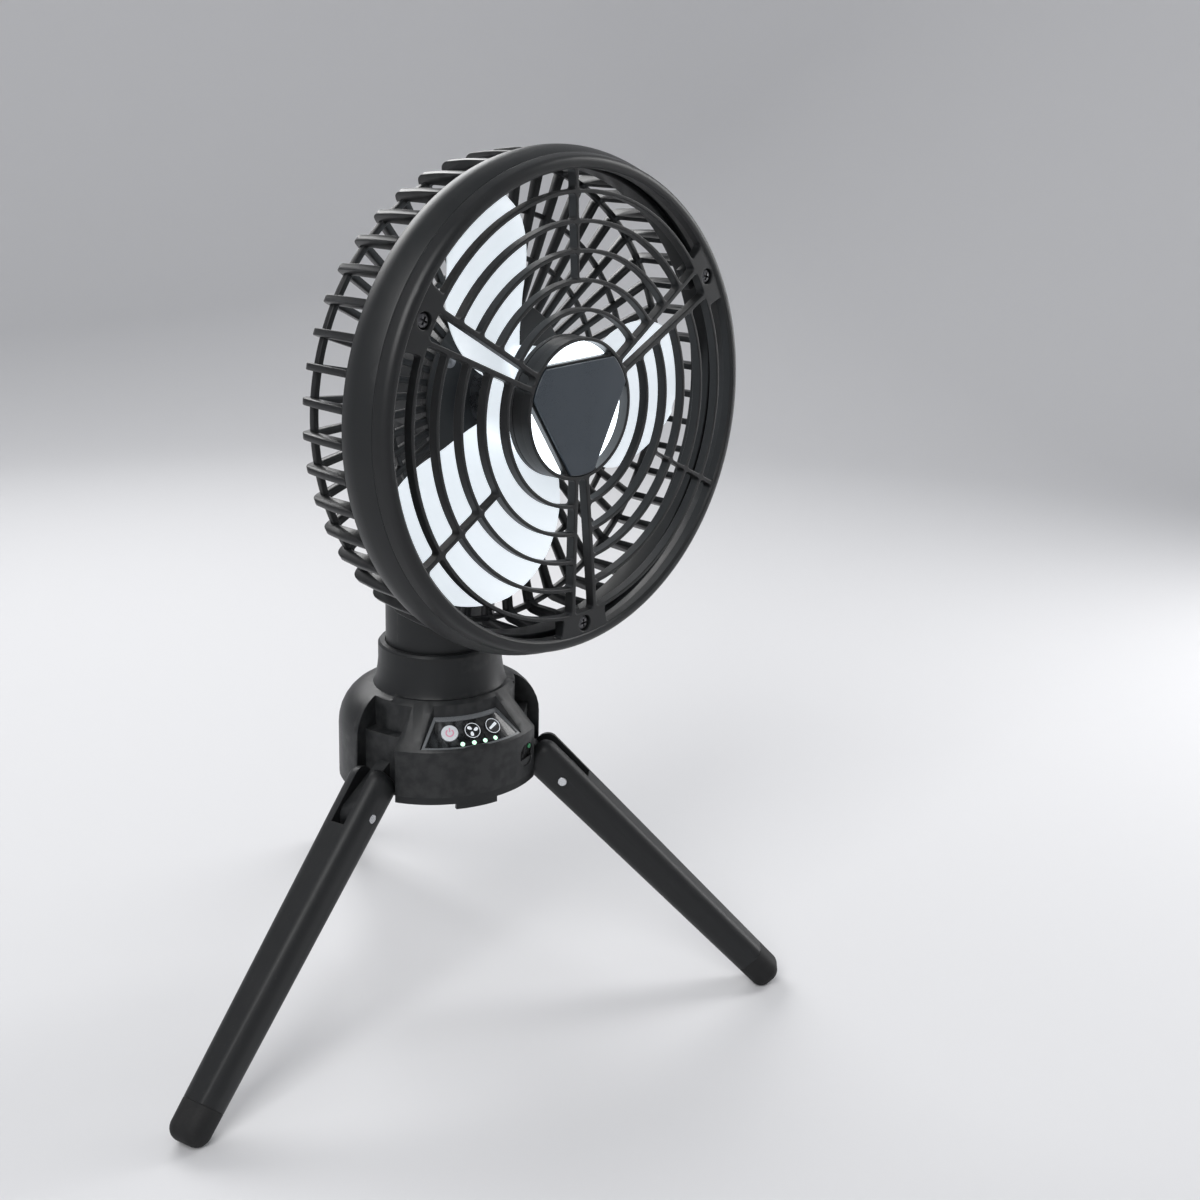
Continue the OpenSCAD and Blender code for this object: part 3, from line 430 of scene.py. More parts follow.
def prism(outline, z0, z1):
    """An outline pushed from z0 to z1, as a bmesh."""
    bm = bmesh.new()
    low = [bm.verts.new((x, y, z0)) for x, y in outline]
    top = [bm.verts.new((x, y, z1)) for x, y in outline]
    bm.faces.new(low[::-1])
    bm.faces.new(top)
    n = len(outline)
    for i in range(n):
        bm.faces.new((low[i], low[(i + 1) % n], top[(i + 1) % n], top[i]))
    bmesh.ops.recalc_face_normals(bm, faces=bm.faces)
    return bm

# %% [markdown]
# ## The band and the front rim
# Both are round mouldings, so each is a profile turned once round the fan's axis. The profile's
# corners are rounded before it is turned, so that the parting line between rim and band shows
# as a fine shadow.

# %% Turn the band and the rim
def turned_piece(name, profile, radii, mat, body):
    mesh = to_mesh(lathe(rounded(profile, radii), 192), name, HEAD)
    return new_object(name, mesh, mat, body, smooth=40)

swell = RIM_R + SWELL
band = turned_piece("band", [
    (BAND_IN, -LAP_Z), (RIM_R + 1.6, -LAP_Z), (RIM_R + SWELL * 0.75, -9), (swell, -13),
    (swell, -16), (RIM_R + SWELL * 0.8, -BAND_DEPTH + 0.6), (RIM_R + SWELL * 0.6, -BAND_DEPTH),
    (BAND_IN, -BAND_DEPTH)], [0.2, 0.45, 3, 2.4, 1.6, 0.9, 0.4, 0.2],
    FINISH["shell_black"], "head")
print("band:", len(band.data.polygons), "faces")

# %% [markdown]
# ## Trees that repeat a shape
# Ribs, blades, lugs and screws all repeat round the fan's axis. That is a rule, so Geometry Nodes
# place them. Each tree ends in Realize Instances and Set Material, because an exported mesh
# can't hold instances.

# %% Helpers for Geometry Nodes trees
def start_tree(name, inputs):
    tree = bpy.data.node_groups.new(name, "GeometryNodeTree")
    kinds = {"f": "NodeSocketFloat", "i": "NodeSocketInt", "m": "NodeSocketMaterial",
             "o": "NodeSocketObject"}
    for title, kind in inputs:
        tree.interface.new_socket(title, in_out="INPUT", socket_type=kinds[kind])
    tree.interface.new_socket("Geometry", in_out="OUTPUT", socket_type="NodeSocketGeometry")
    return tree, tree.nodes.new("NodeGroupInput"), tree.nodes.new("NodeGroupOutput")

def grow(tree, name, values, mat, body, matrix, replaces=(), smooth=40):
    """Runs a tree on an empty mesh and keeps the result as a plain mesh in its place."""
    obj = new_object(name, bpy.data.meshes.new(name), mat, body, replaces, 0)
    obj.modifiers.new("made by rule", "NODES").node_group = tree
    for item in tree.interface.items_tree:
        if item.in_out == "INPUT":
            obj.modifiers[0][item.identifier] = values[item.name]
    applied(obj)
    obj.data.transform(matrix)
    if smooth:
        obj.data.shade_smooth()
        obj.data.set_sharp_from_angle(angle=radians(smooth))
    return obj

def finish_tree(tree, enter, leave, geometry):
    real = put(tree, "GeometryNodeRealizeInstances")
    coat = put(tree, "GeometryNodeSetMaterial")
    tree.links.new(geometry, real.inputs[0])
    tree.links.new(real.outputs[0], coat.inputs["Geometry"])
    tree.links.new(enter.outputs["Material"], coat.inputs["Material"])
    tree.links.new(coat.outputs[0], leave.inputs["Geometry"])

# %% A tree that repeats a piece round the axis
def around_tree():
    tree, enter, leave = start_tree("repeat_round", [
        ("Piece", "o"), ("Count", "i"), ("First angle", "f"), ("Material", "m")])
    link = tree.links.new
    line = put(tree, "GeometryNodeMeshLine", {"Offset": (0, 0, 0)})
    link(enter.outputs["Count"], line.inputs["Count"])
    index = put(tree, "GeometryNodeInputIndex")
    step = maths(tree, "DIVIDE", 2 * pi, enter.outputs["Count"])
    angle = maths(tree, "ADD", maths(tree, "MULTIPLY", index.outputs[0], step),
                  enter.outputs["First angle"])
    turn = put(tree, "ShaderNodeCombineXYZ")
    link(angle, turn.inputs["Z"])
    shape = put(tree, "GeometryNodeObjectInfo")
    link(enter.outputs["Piece"], shape.inputs["Object"])
    each = put(tree, "GeometryNodeInstanceOnPoints")
    link(line.outputs["Mesh"], each.inputs["Points"])
    link(shape.outputs["Geometry"], each.inputs["Instance"])
    link(turn.outputs[0], each.inputs["Rotation"])
    finish_tree(tree, enter, leave, each.outputs[0])
    return tree
AROUND = around_tree()

def repeat_round(name, bms, count, first, mat, body, matrix, soft=0.35, smooth=40):
    """Joins the shapes, softens them, and repeats them round +Z before moving them."""
    mesh = bpy.data.meshes.new(name + "_one")
    one = bmesh.new()
    for bm in bms:
        part = bpy.data.meshes.new("part")
        bm.to_mesh(part)
        bm.free()
        one.from_mesh(part)
        bpy.data.meshes.remove(part)
    one.to_mesh(mesh)
    one.free()
    pattern = new_object(name + "_one", mesh, mat, body, smooth=smooth)
    if soft:    # the bevel works in metres, and the tree in millimetres
        pattern.scale = (MM, MM, MM)
        bpy.context.view_layer.update()
        mesh.transform(pattern.matrix_world)
        pattern.scale = (1, 1, 1)
        soften(pattern, soft)
        pattern.data.transform(Matrix.Scale(1000, 4))
    obj = grow(AROUND, name, {"Piece": pattern, "Count": count, "First angle": radians(first),
                              "Material": mat}, mat, body, matrix, smooth=smooth)
    bpy.data.objects.remove(pattern)
    return obj

# %% [markdown]
# ## The front grille
# The real grille is one moulding: five thin rings round the lamp's tube, three pairs of bars that
# spread towards the rim, three thin struts and three plates for the screws. Every opening in it
# has round corners. So it is drawn as the mould maker would: a disc with its openings as outlines
# inside, filled as a flat curve and given depth. The curve's own bevel rounds all edges at once.

# %% The outline of one opening
def at(r, a):
    return (r * cos(a), r * sin(a))

def bend(a, corner, b, steps=5):
    """A short curve from a to b that turns at the corner."""
    a, corner, b = Vector(a), Vector(corner), Vector(b)
    return [tuple(a * (1 - t) ** 2 + corner * 2 * t * (1 - t) + b * t * t)
            for t in (k / steps for k in range(steps + 1))]

def opening(r0, r1, start, end, corner=1.5):
    """Between two radii and two edges, each edge given as an angle that follows the radius."""
    out = []
    for r, inward, a, b, turn in ((r0, r0 + corner, start, end, corner),
                                  (r1, r1 - corner, end, start, -corner)):
        a0, a1 = a(r) + turn / r, b(r) - turn / r
        steps = max(2, int(abs(a1 - a0) / radians(2.5)))
        out += bend(at(inward, a(inward)), at(r, a(r)), at(r, a0))
        out += [at(r, a0 + (a1 - a0) * k / steps) for k in range(1, steps)]
        out += bend(at(r, a1), at(r, b(r)), at(inward, b(inward)))
    return out

# %% All openings of the grille
PAIR_IN, PAIR_OUT, BAR_W, WEB_W = 2.8, 6.7, 2.0, 22.0
STRUT_IN, STRUT_OUT, STRUT_FROM = 0.9, 2.0, 2     # widths at its ends; the ring it starts from
WEB_FLARE = 2
SPOKES = [radians(a) for a in SPOKE_ANGLES]

# Each edge is given as its angle from the middle of its spoke or strut, at a radius
def spread(r):
    return PAIR_IN + (PAIR_OUT - PAIR_IN) * (r - RING_FIRST) / (OPENING_R + 0.6 - RING_FIRST)
def bar_edge(r):
    return asin((spread(r) + BAR_W / 2) / r)
def web_edge(r):
    return asin((WEB_W / 2 + WEB_FLARE * (r - RING_LAST + 0.6) / (OPENING_R - RING_LAST + 1.2)) / r)
def strut_edge(r):
    start = STRUT_FROM * RING_STEP
    outward = (r - start - RING_FIRST) / (OPENING_R - start - RING_FIRST)
    return asin((STRUT_IN + (STRUT_OUT - STRUT_IN) * outward) / 2 / r)

def grille_openings():
    found = []
    for i in range(RING_COUNT):
        outer = i == RING_COUNT - 1
        r0 = RING_FIRST + RING_STEP * i + RING_T / 2
        r1 = OPENING_R if outer else r0 + RING_STEP - RING_T
        edge = web_edge if outer else bar_edge
        for s in SPOKES:
            first, last = (lambda r: s + edge(r)), (lambda r: s + 2 * pi / 3 - edge(r))
            if i < STRUT_FROM:
                found.append(opening(r0, r1, first, last))
            else:
                found.append(opening(r0, r1, first, lambda r: s + pi / 3 - strut_edge(r)))
                found.append(opening(r0, r1, lambda r: s + pi / 3 + strut_edge(r), last))
    x0, x1 = RING_FIRST + RING_T / 2, RING_LAST - 0.6
    h0, h1 = spread(x0) - BAR_W / 2, spread(x1) - BAR_W / 2
    slot = rounded([(x0, -h0), (x1, -h1), (x1, h1), (x0, h0)], 1.6)
    well = disc_at(SCREW_RING, SCREW_WELL, 40)
    for s in SPOKES:
        found += [spun(shape, s) for shape in (slot, well)]
    return found

# %% Fill outlines as a plate with rounded edges
def filled(name, outlines, front, back, edge, matrix, mat, body):
    """A plate between two depths, with openings where outlines lie inside an outline."""
    flat = bpy.data.curves.new(name, "CURVE")
    flat.dimensions, flat.fill_mode = "2D", "BOTH"
    flat.extrude, flat.bevel_depth, flat.bevel_resolution = (front - back) / 2 - edge, edge, 2
    flat.offset = -edge
    for points in outlines:
        line = flat.splines.new("POLY")
        line.points.add(len(points) - 1)
        for point, (x, y) in zip(line.points, points):
            point.co = (x, y, 0, 1)
        line.use_cyclic_u = True
    shape = bpy.data.objects.new(name, flat)
    bpy.context.scene.collection.objects.link(shape)
    depsgraph = bpy.context.evaluated_depsgraph_get()
    mesh = bpy.data.meshes.new_from_object(shape.evaluated_get(depsgraph))
    bpy.data.objects.remove(shape)
    bm = bmesh.new()
    bm.from_mesh(mesh)
    bpy.data.meshes.remove(mesh)
    bmesh.ops.remove_doubles(bm, verts=bm.verts, dist=1e-3)
    bmesh.ops.recalc_face_normals(bm, faces=bm.faces)
    bm.transform(Matrix.Translation((0, 0, (front + back) / 2)))
    obj = new_object(name, to_mesh(bm, name, matrix), mat, body)
    even = obj.modifiers.new("even shading", "WEIGHTED_NORMAL")
    even.keep_sharp = True
    return applied(obj)

def circle(r, steps=180):
    return [at(r, 2 * pi * k / steps) for k in range(steps)]

BAR_FRONT, BAR_BACK, BAR_EDGE = -0.6, -0.6 - RING_DEPTH, 0.4
web = filled("grille_web", [circle(OPENING_R + 1.2), circle(RING_FIRST - RING_T / 2)]
             + grille_openings(), BAR_FRONT, BAR_BACK, BAR_EDGE, GRILLE, FINISH["grille_black"],
             "head")
print("grille web:", len(web.data.polygons), "faces")

# %% The badge's seat, with three windows in front of the lamp
SEAT_SIDE, SEAT_FRONT, SEAT_BACK, SEAT_EDGE = 19.0, -1.5, -4.4, 0.3

def window(side, r, corner, turn):
    """The opening between one side of the badge's plate and the innermost ring."""
    reach, half, steps = acos(side / r), (r * r - side * side) ** 0.5, 40
    ends = bend((half - corner * 1.4, side), (half, side), at(r, pi / 2 - reach + corner / r))
    sweep = [at(r, pi / 2 - reach + corner / r + (2 * reach - 2 * corner / r) * k / steps)
             for k in range(1, steps)]
    return spun(ends + sweep + [(-x, y) for x, y in reversed(ends)], turn)

seat = filled("badge_seat", [circle(RING_FIRST)] + [
    window(SEAT_SIDE, RING_FIRST - RING_T / 2, 2.0, radians(120 * i)) for i in range(3)],
    SEAT_FRONT, SEAT_BACK, SEAT_EDGE, GRILLE, FINISH["grille_black"], "head")

# %% Rim, lamp tube and screw wells, joined with the plate into one moulding
def joined(name, objs, mat, body, replaces=(), smooth=40):
    bm = bmesh.new()
    for obj in objs:
        bm.from_mesh(obj.data)
        bpy.data.objects.remove(obj)
    mesh = bpy.data.meshes.new(name)
    bm.to_mesh(mesh)
    bm.free()
    return new_object(name, mesh, mat, body, replaces, smooth)

rim = turned_piece("rim", [
    (OPENING_R, -1), (OPENING_R + 0.8, 0), (RIM_R - 1.6, 0), (RIM_R - 0.4, -0.6),
    (RIM_R + 0.5, -1.8), (RIM_R + 1.6, -LAP_Z), (BAND_IN - 0.2, -LAP_Z),
    (BAND_IN - 0.2, -LAP_Z - 3), (BAND_IN - 2, -LAP_Z - 3), (OPENING_R, -LAP_Z + 1)],
    [0.4, 0.4, 0.8, 0.6, 1.2, 0.3, 0, 0, 0.3, 0.5], FINISH["grille_black"], "head")
TUBE_FRONT, TUBE_BACK = -2, -9.4
tube = turned_piece("lamp_tube", [
    (RING_FIRST - RING_T / 2 + 0.05, TUBE_FRONT), (RING_FIRST + RING_T / 2 - 0.05, TUBE_FRONT),
    (RING_FIRST + RING_T / 2, TUBE_BACK), (RING_FIRST - RING_T / 2, TUBE_BACK)], 0.3,
    FINISH["grille_black"], "head")
FLOOR_R, FLOOR_BACK = 3.6, -5.8
well_floor = prism(disc_at(SCREW_RING, FLOOR_R, 24), FLOOR_BACK, -WELL_DEPTH)
floors = repeat_round("well_floors", [well_floor], 3, SPOKE_ANGLES[0], FINISH["grille_black"],
                      "head", GRILLE, 0)
grille = settle(joined("front_grille_soft", [rim, tube, seat, floors, web],
                       FINISH["grille_black"], "head", ["front_grille"]))
LUG_IN, LUG_OUT, LUG_HALF, LUG_BACK, LUG_FRONT = SCREW_RING - 4.2, BAND_IN + 0.6, 5, -12.5, -8.7
lug = prism([(LUG_IN, -LUG_HALF), (LUG_OUT, -LUG_HALF), (LUG_OUT, LUG_HALF), (LUG_IN, LUG_HALF)],
            LUG_BACK, LUG_FRONT)
lugs = repeat_round("band_lugs", [lug], 3, SPOKE_ANGLES[0], FINISH["shell_black"], "head", GRILLE)
band = settle(joined("front_band_soft", [band, lugs], FINISH["shell_black"], "head",
                     ["front_band"]))
print("front grille:", len(grille.data.polygons), "faces")

# %% [markdown]
# ## The rear basket
# Forty-eight ribs run round the fan and turn in to the motor's plate. One rib is an outline with
# round corners, pushed to its thickness and softened; the same small tree repeats it.

# %% Ribs, hoops and the motor's plate
RIB_COUNT, RIB_T, RIB_H, RIB_EDGE = 48, 2.6, 4.0, 0.5
HUB_BORE = 5.0                        # the motor's shaft goes through it

def rib():
    outline = rounded([
        (BAND_IN - 1.4, -BAND_DEPTH - 0.3), (CORNER_R + 1.6, -BAND_DEPTH - 0.3),
        (CORNER_R + 1.2, -HEAD_DEPTH * 0.7), (CORNER_R, -HEAD_DEPTH + 3),
        (CORNER_R - 1.4, -HEAD_DEPTH + 0.8), (CORNER_R - 3.4, -HEAD_DEPTH),
        (HUB_PLATE_R - 2, 0.5 - HUB_Z - HUB_T), (HUB_PLATE_R - 2, -0.5 - HUB_Z),
        (CORNER_R - RIB_H - 2, -HEAD_DEPTH + RIB_H), (CORNER_R - RIB_H, -HEAD_DEPTH + RIB_H + 2)],
        [0, 0.4, 3, 1.2, 1.2, 1.2, 0, 0, 1.2, 1.2])
    bm = prism(outline, -RIB_T / 2, RIB_T / 2)
    bm.transform(Matrix.Rotation(pi / 2, 4, "X"))
    return bm

ribs = repeat_round("ribs", [rib()], RIB_COUNT, 0, FINISH["grille_black"], "head", GRILLE,
                    RIB_EDGE)
# Each hoop: inner and outer radius, front and back depth, corner
hoops = [turned_piece("hoop", [(a, -c), (b, -c), (b, -d), (a, -d)], r, FINISH["grille_black"],
                      "head") for a, b, c, d, r in (
    (BAND_IN - 2.6, BAND_IN - 0.25, 13.0, BAND_DEPTH + 3, 0.5),
    (CORNER_R - RIB_H - 1.6, CORNER_R - RIB_H + 0.8, HEAD_DEPTH - 5, HEAD_DEPTH - 2.4, 0.6),
    (HUB_PLATE_R + 16, HUB_PLATE_R + 18, HUB_Z - 0.4, HUB_Z + 2, 0.6),
    (HUB_PLATE_R + 34, HUB_PLATE_R + 36, HUB_Z - 0.4, HUB_Z + 2, 0.6),
    (HUB_BORE, HUB_PLATE_R, HUB_Z, HUB_Z + HUB_T, 0.5))]
basket = settle(joined("rear_grille_soft", [ribs] + hoops, FINISH["grille_black"], "head",
                       ["rear_grille"]))
print("rear basket:", len(basket.data.polygons), "faces")

# %% [markdown]
# ## The impeller
# Each blade is a fan of curved chords: the pitch eases from hub to tip and the chord swells and
# then closes in a round end. The same formulas as the CAD model's give many more chords here,
# so that the light runs over the blade without facets.

# %% Blades and hub
FAN_R, FAN_HUB, FAN_FRONT, FAN_BACK = 87.0, 21.0, 15.6, 34.0
BLADE_MID = (FAN_FRONT + HEAD_DEPTH) / 2 - 4
BLADE_TURN, BLADE_SWEEP, BLADE_HALF = 121, 8, 37    # degrees: its middle, sweep and half width
PITCH_ROOT, PITCH_TIP, REACH_MAX, CAMBER, BLADE_T = 38, 19, 10.8, 1.6, 1.8
ROUND_FROM = 30                                     # radius where the chord starts to close in

def blade_point(u, v, side):
    """A point on the blade: u from root to tip, v across it, side 1 in front and -1 behind."""
    r = FAN_HUB - 0.8 + u * (FAN_R - FAN_HUB + 0.8)
    inner = max(0.0, (r - ROUND_FROM) / (FAN_R + 0.4 - ROUND_FROM))
    half = BLADE_HALF * (1 - inner ** 2.4) ** 0.6
    middle = BLADE_TURN - BLADE_SWEEP * min(1.0, max(0.0, (r - 40) / 35))
    pitch = radians(PITCH_ROOT + (PITCH_TIP - PITCH_ROOT) * u ** 0.6)
    thick = BLADE_T * (0.35 + 0.65 * (1 - v * v)) * (1 - 0.35 * u)
    a = radians(middle + v * half)
    z = (-BLADE_MID + v * min(r * radians(half) * tan(pitch), REACH_MAX) - CAMBER * (1 - v * v)
         + side * thick / 2)
    return (r * cos(a), r * sin(a), z)

def blade():
    nu, nv = 36, 24
    bm = bmesh.new()
    loops = []
    for i in range(nu + 1):
        u = 1 - (1 - i / nu) ** 1.5
        across = ([blade_point(u, -cos(pi * j / nv), 1) for j in range(nv)]
                  + [blade_point(u, cos(pi * j / nv), -1) for j in range(nv)])
        loops.append([bm.verts.new(p) for p in across])
    for a, b in zip(loops, loops[1:]):
        for j in range(2 * nv):
            k = (j + 1) % (2 * nv)
            bm.faces.new((a[j], a[k], b[k], b[j]))
    bm.faces.new(loops[0])
    bm.faces.new(loops[-1])
    bmesh.ops.recalc_face_normals(bm, faces=bm.faces)
    return bm

# The blades and hub carry blade_white's faint glow, which is painted light standing for the lamp's
# light on them.
blades = repeat_round("blades", [blade()], 3, 0, FINISH["blade_white"], "rotor", HEAD, 0, 60)
hub = turned_piece("fan_hub", [
    (1.6, -FAN_FRONT), (FAN_HUB - 4, -FAN_FRONT), (FAN_HUB - 1.2, -FAN_FRONT - 1),
    (FAN_HUB, -FAN_FRONT - 3.6), (FAN_HUB, -FAN_BACK), (FAN_HUB - 2.2, -FAN_BACK),
    (FAN_HUB - 2.2, -FAN_FRONT - 2.4), (1.6, -FAN_FRONT - 2.4)],
    [0, 2.5, 2, 2, 0.5, 0.5, 0, 0], FINISH["blade_white"], "rotor")
impeller = settle(joined("impeller_soft", [blades, hub], FINISH["blade_white"], "rotor",
                         ["impeller"], 60))
print("impeller:", len(impeller.data.polygons), "faces")

# %% [markdown]
# ## Shells, legs and small parts
# These keep the CAD shapes, with every edge softened to what its moulding would have: wide on
# the base and the legs, narrow on the buttons and the panel.

# %% Soften the rest
for node, width in (("base_shell", 0.45), ("base_bottom", 0.4), ("neck_front", 0.4),
                    ("neck_rear", 0.4), ("grille_badge", 0.4), ("lamp_lens", 0.5),
                    ("impeller_cap", 0.6), ("panel_frame", 0.2), ("panel_fascia", 0.08),
                    ("button_power", 0.25), ("button_fan", 0.25), ("button_light", 0.25),
                    ("leg_left", 0.4), ("leg_right", 0.4), ("leg_rear", 0.4),
                    ("foot_left", 0.3), ("foot_right", 0.3), ("foot_rear", 0.3),
                    ("charge_port", 0.2), ("leg_pins", 0.6)):
    piece = dress(node, width)
    print(piece.name, len(piece.data.polygons), "faces")

# %% [markdown]
# ## Marks on the buttons
# The panel has three round buttons in a gloss fascia: a white one with a power mark, and two dark
# ones, each with a thin light ring, round a small fan and round a lamp. They are plain generic
# marks, made as films a twentieth of a millimetre thick that sit on the buttons' tops and travel
# with them.

# %% Outlines as thin films
PANEL_TILT, PANEL_FOOT = radians(45), 64.6245   # the cone's slope; its height at radius 0
BUTTON_RING, BUTTON_TURN, BUTTON_TOP, FILM_T = 36.284, 15, 0.6, 0.05

def panel_at(r, turn):
    """A place on the panel's cone: x goes round it, y up it and z out of it."""
    return (SCALE @ Matrix.Rotation(radians(turn), 4, "Z")
            @ Matrix.Translation((0, -r, PANEL_FOOT - r))
            @ Matrix.Rotation(PANEL_TILT, 4, "X"))

def arc_band(r0, r1, a0, a1, steps=40):
    """The outline of a part of a ring: out along r1 and back along r0."""
    return ([at(r1, a0 + (a1 - a0) * i / steps) for i in range(steps + 1)]
            + [at(r0, a1 + (a0 - a1) * i / steps) for i in range(steps + 1)])

def film(name, outlines, turn, mat, body):
    bm = bmesh.new()
    for outline in outlines:
        part = bpy.data.meshes.new("part")
        one = prism(outline, BUTTON_TOP, BUTTON_TOP + FILM_T)
        one.to_mesh(part)
        one.free()
        bm.from_mesh(part)
        bpy.data.meshes.remove(part)
    place = panel_at(BUTTON_RING, turn)
    return settle(new_object(name, to_mesh(bm, name, place), mat, body, smooth=0))

def petal(angle):
    """One blade of the small fan mark."""
    return spun(rounded([(0.3, -0.25), (1.25, -1.1), (2.6, -0.7), (2.45, 0.5), (1.1, 0.4)], 0.6),
                angle)

def torch(length, width, angle):
    """The small lamp mark: a bar whose far part is wider."""
    return spun(rounded([(-length, -width * 0.75), (length * 0.35, -width), (length, -width),
                         (length, width), (length * 0.35, width), (-length, width * 0.75)], 0.3),
                angle)

power = [arc_band(1.25, 1.75, radians(125), radians(415)),
         [(-0.25, 0.4), (0.25, 0.4), (0.25, 2.2), (-0.25, 2.2)]]
fan_mark = [petal(radians(20 + 120 * i)) for i in range(3)]
lamp_mark = [torch(2.2, 0.62, radians(24))]
HALO_IN, HALO_OUT = 3.08, 3.32
halo = [arc_band(HALO_IN, HALO_OUT, 0, pi), arc_band(HALO_IN, HALO_OUT, pi, 2 * pi)]
film("mark_power", power, -BUTTON_TURN, FINISH["mark_rose"], "power_button")
film("mark_fan", fan_mark + halo, 0, FINISH["mark_white"], "fan_button")
film("mark_lamp", lamp_mark + halo, BUTTON_TURN, FINISH["mark_white"], "light_button")

# %% [markdown]
# ## Screws
# Three screws hold the front grille, four close the neck and three the base. They share one
# head: a low dome with a cross recess. The head is cut once, and a tree places it on each point.

# %% A cross-recess screw head, and a tree that sets it on points
def screw_head(radius, height):
    bm = lathe([(0, 0), (radius, 0), (radius, height * 0.4), (radius * 0.86, height * 0.78),
                (radius * 0.5, height * 0.97), (0, height)], 40)
    head = new_object("screw_head", to_mesh(bm, "screw_head", Matrix.Identity(4)),
                      FINISH["screw_steel"], "head", smooth=40)
    w, n = radius * 0.13, radius * 0.56
    cross = prism([(w, w), (w, n), (-w, n), (-w, w), (-n, w), (-n, -w), (-w, -w), (-w, -n),
                   (w, -n), (w, -w), (n, -w), (n, w)], height * 0.3, height + 1)
    cutter = new_object("cross", to_mesh(cross, "cross", Matrix.Identity(4)),
                        FINISH["screw_steel"], "head", smooth=0)
    cut = head.modifiers.new("recess", "BOOLEAN")
    cut.operation, cut.object, cut.solver = "DIFFERENCE", cutter, "EXACT"
    applied(head)
    bpy.data.objects.remove(cutter)
    return head

def screw_tree():
    tree, enter, leave = start_tree("set_screws", [("Points", "o"), ("Head", "o"),
                                                   ("Material", "m")])
    link = tree.links.new
    points = put(tree, "GeometryNodeObjectInfo")
    head = put(tree, "GeometryNodeObjectInfo")
    link(enter.outputs["Points"], points.inputs["Object"])
    link(enter.outputs["Head"], head.inputs["Object"])
    index = put(tree, "GeometryNodeInputIndex")
    turn = put(tree, "ShaderNodeCombineXYZ")
    stray_turn = 1.3    # no two recesses stop at the same angle
    link(maths(tree, "MULTIPLY", index.outputs[0], stray_turn), turn.inputs["Z"])
    each = put(tree, "GeometryNodeInstanceOnPoints")
    link(points.outputs["Geometry"], each.inputs["Points"])
    link(head.outputs["Geometry"], each.inputs["Instance"])
    link(turn.outputs[0], each.inputs["Rotation"])
    finish_tree(tree, enter, leave, each.outputs[0])
    return tree
SCREWS = screw_tree()

def screws(name, points, radius, height, matrix, body, node):
    """Heads standing on points along +Z of the matrix, over the CAD screws of a node."""
    mesh = bpy.data.meshes.new(name + "_points")
    mesh.from_pydata([tuple(p) for p in points], [], [])
    spots = bpy.data.objects.new(name + "_points", mesh)
    bpy.context.scene.collection.objects.link(spots)
    head = screw_head(radius, height)
    obj = grow(SCREWS, name, {"Points": spots, "Head": head, "Material": FINISH["screw_steel"]},
               FINISH["screw_steel"], body, matrix, [node])
    bpy.data.objects.remove(spots)
    bpy.data.objects.remove(head)
    return settle(obj)

# %% Place the screws: the grille's in their wells, the neck's behind, the base's underneath
HEAD_R, HEAD_H, GRILLE_HEAD_R, BASE_HEAD_H = 2.8, 2.0, 2.9, 1.4
screws("grille_screw_heads", [(SCREW_RING * cos(radians(a)), SCREW_RING * sin(radians(a)),
                               -WELL_DEPTH) for a in SPOKE_ANGLES],
       GRILLE_HEAD_R, HEAD_H, GRILLE, "head", "grille_screws")
NECK_BACK, COLUMN_X, COLUMN_UP, POD_OFF = 9, 12, 12, 15.1
BEHIND = (SCALE @ Matrix.Rotation(HEAD_YAW, 4, "Z") @ Matrix.Translation((0, NECK_BACK, 0))
          @ Matrix.Rotation(-pi / 2, 4, "X"))
neck_points = [(-COLUMN_X, NECK_SEAM + COLUMN_UP), (COLUMN_X, NECK_SEAM + COLUMN_UP),
               (-POD_OFF, HEAD_Z + POD_OFF), (POD_OFF, HEAD_Z + POD_OFF)]
screws("neck_screw_heads", [(x, -z, 0) for x, z in neck_points], HEAD_R, HEAD_H, BEHIND, "head",
       "neck_screws")
SEAT_Z, BOSS_RING = 1.6, BASE_R - BASE_WALL - 2.6
UNDER = SCALE @ Matrix.Translation((0, 0, SEAT_Z)) @ Matrix.Rotation(pi, 4, "X")
screws("base_screw_heads", [(BOSS_RING * cos(radians(a)), -BOSS_RING * sin(radians(a)), 0)
                            for a in (30, 150, 270)], HEAD_R, BASE_HEAD_H, UNDER, "base",
       "base_screws")

# %% [markdown]
# ## The charging socket
# A slot with a thin tongue inside it, beside a small light. The CAD node gives the slot.

# %% Tongue
PORT_TURN, PORT_Z = 36.5, 12.8
PORT = (SCALE @ Matrix.Rotation(radians(PORT_TURN - 90), 4, "Z")
        @ Matrix.Translation((BASE_R, 0, PORT_Z)) @ Matrix.Rotation(pi / 2, 4, "Y"))
tongue = prism([(-0.45, -2.9), (0.45, -2.9), (0.45, 2.9), (-0.45, 2.9)], -4.0, -1.4)
settle(repeat_round("socket_tongue", [tongue], 1, 0, FINISH["switch_metal"], "base", PORT,
                    0.1))

# %% [markdown]
# ## The studio
# A pale floor that curves up into a backdrop all round, so that every side has the same plain
# ground, one large soft lamp above to the left, a long strip to the right that draws the edges of
# the black plastic, and an even world light.

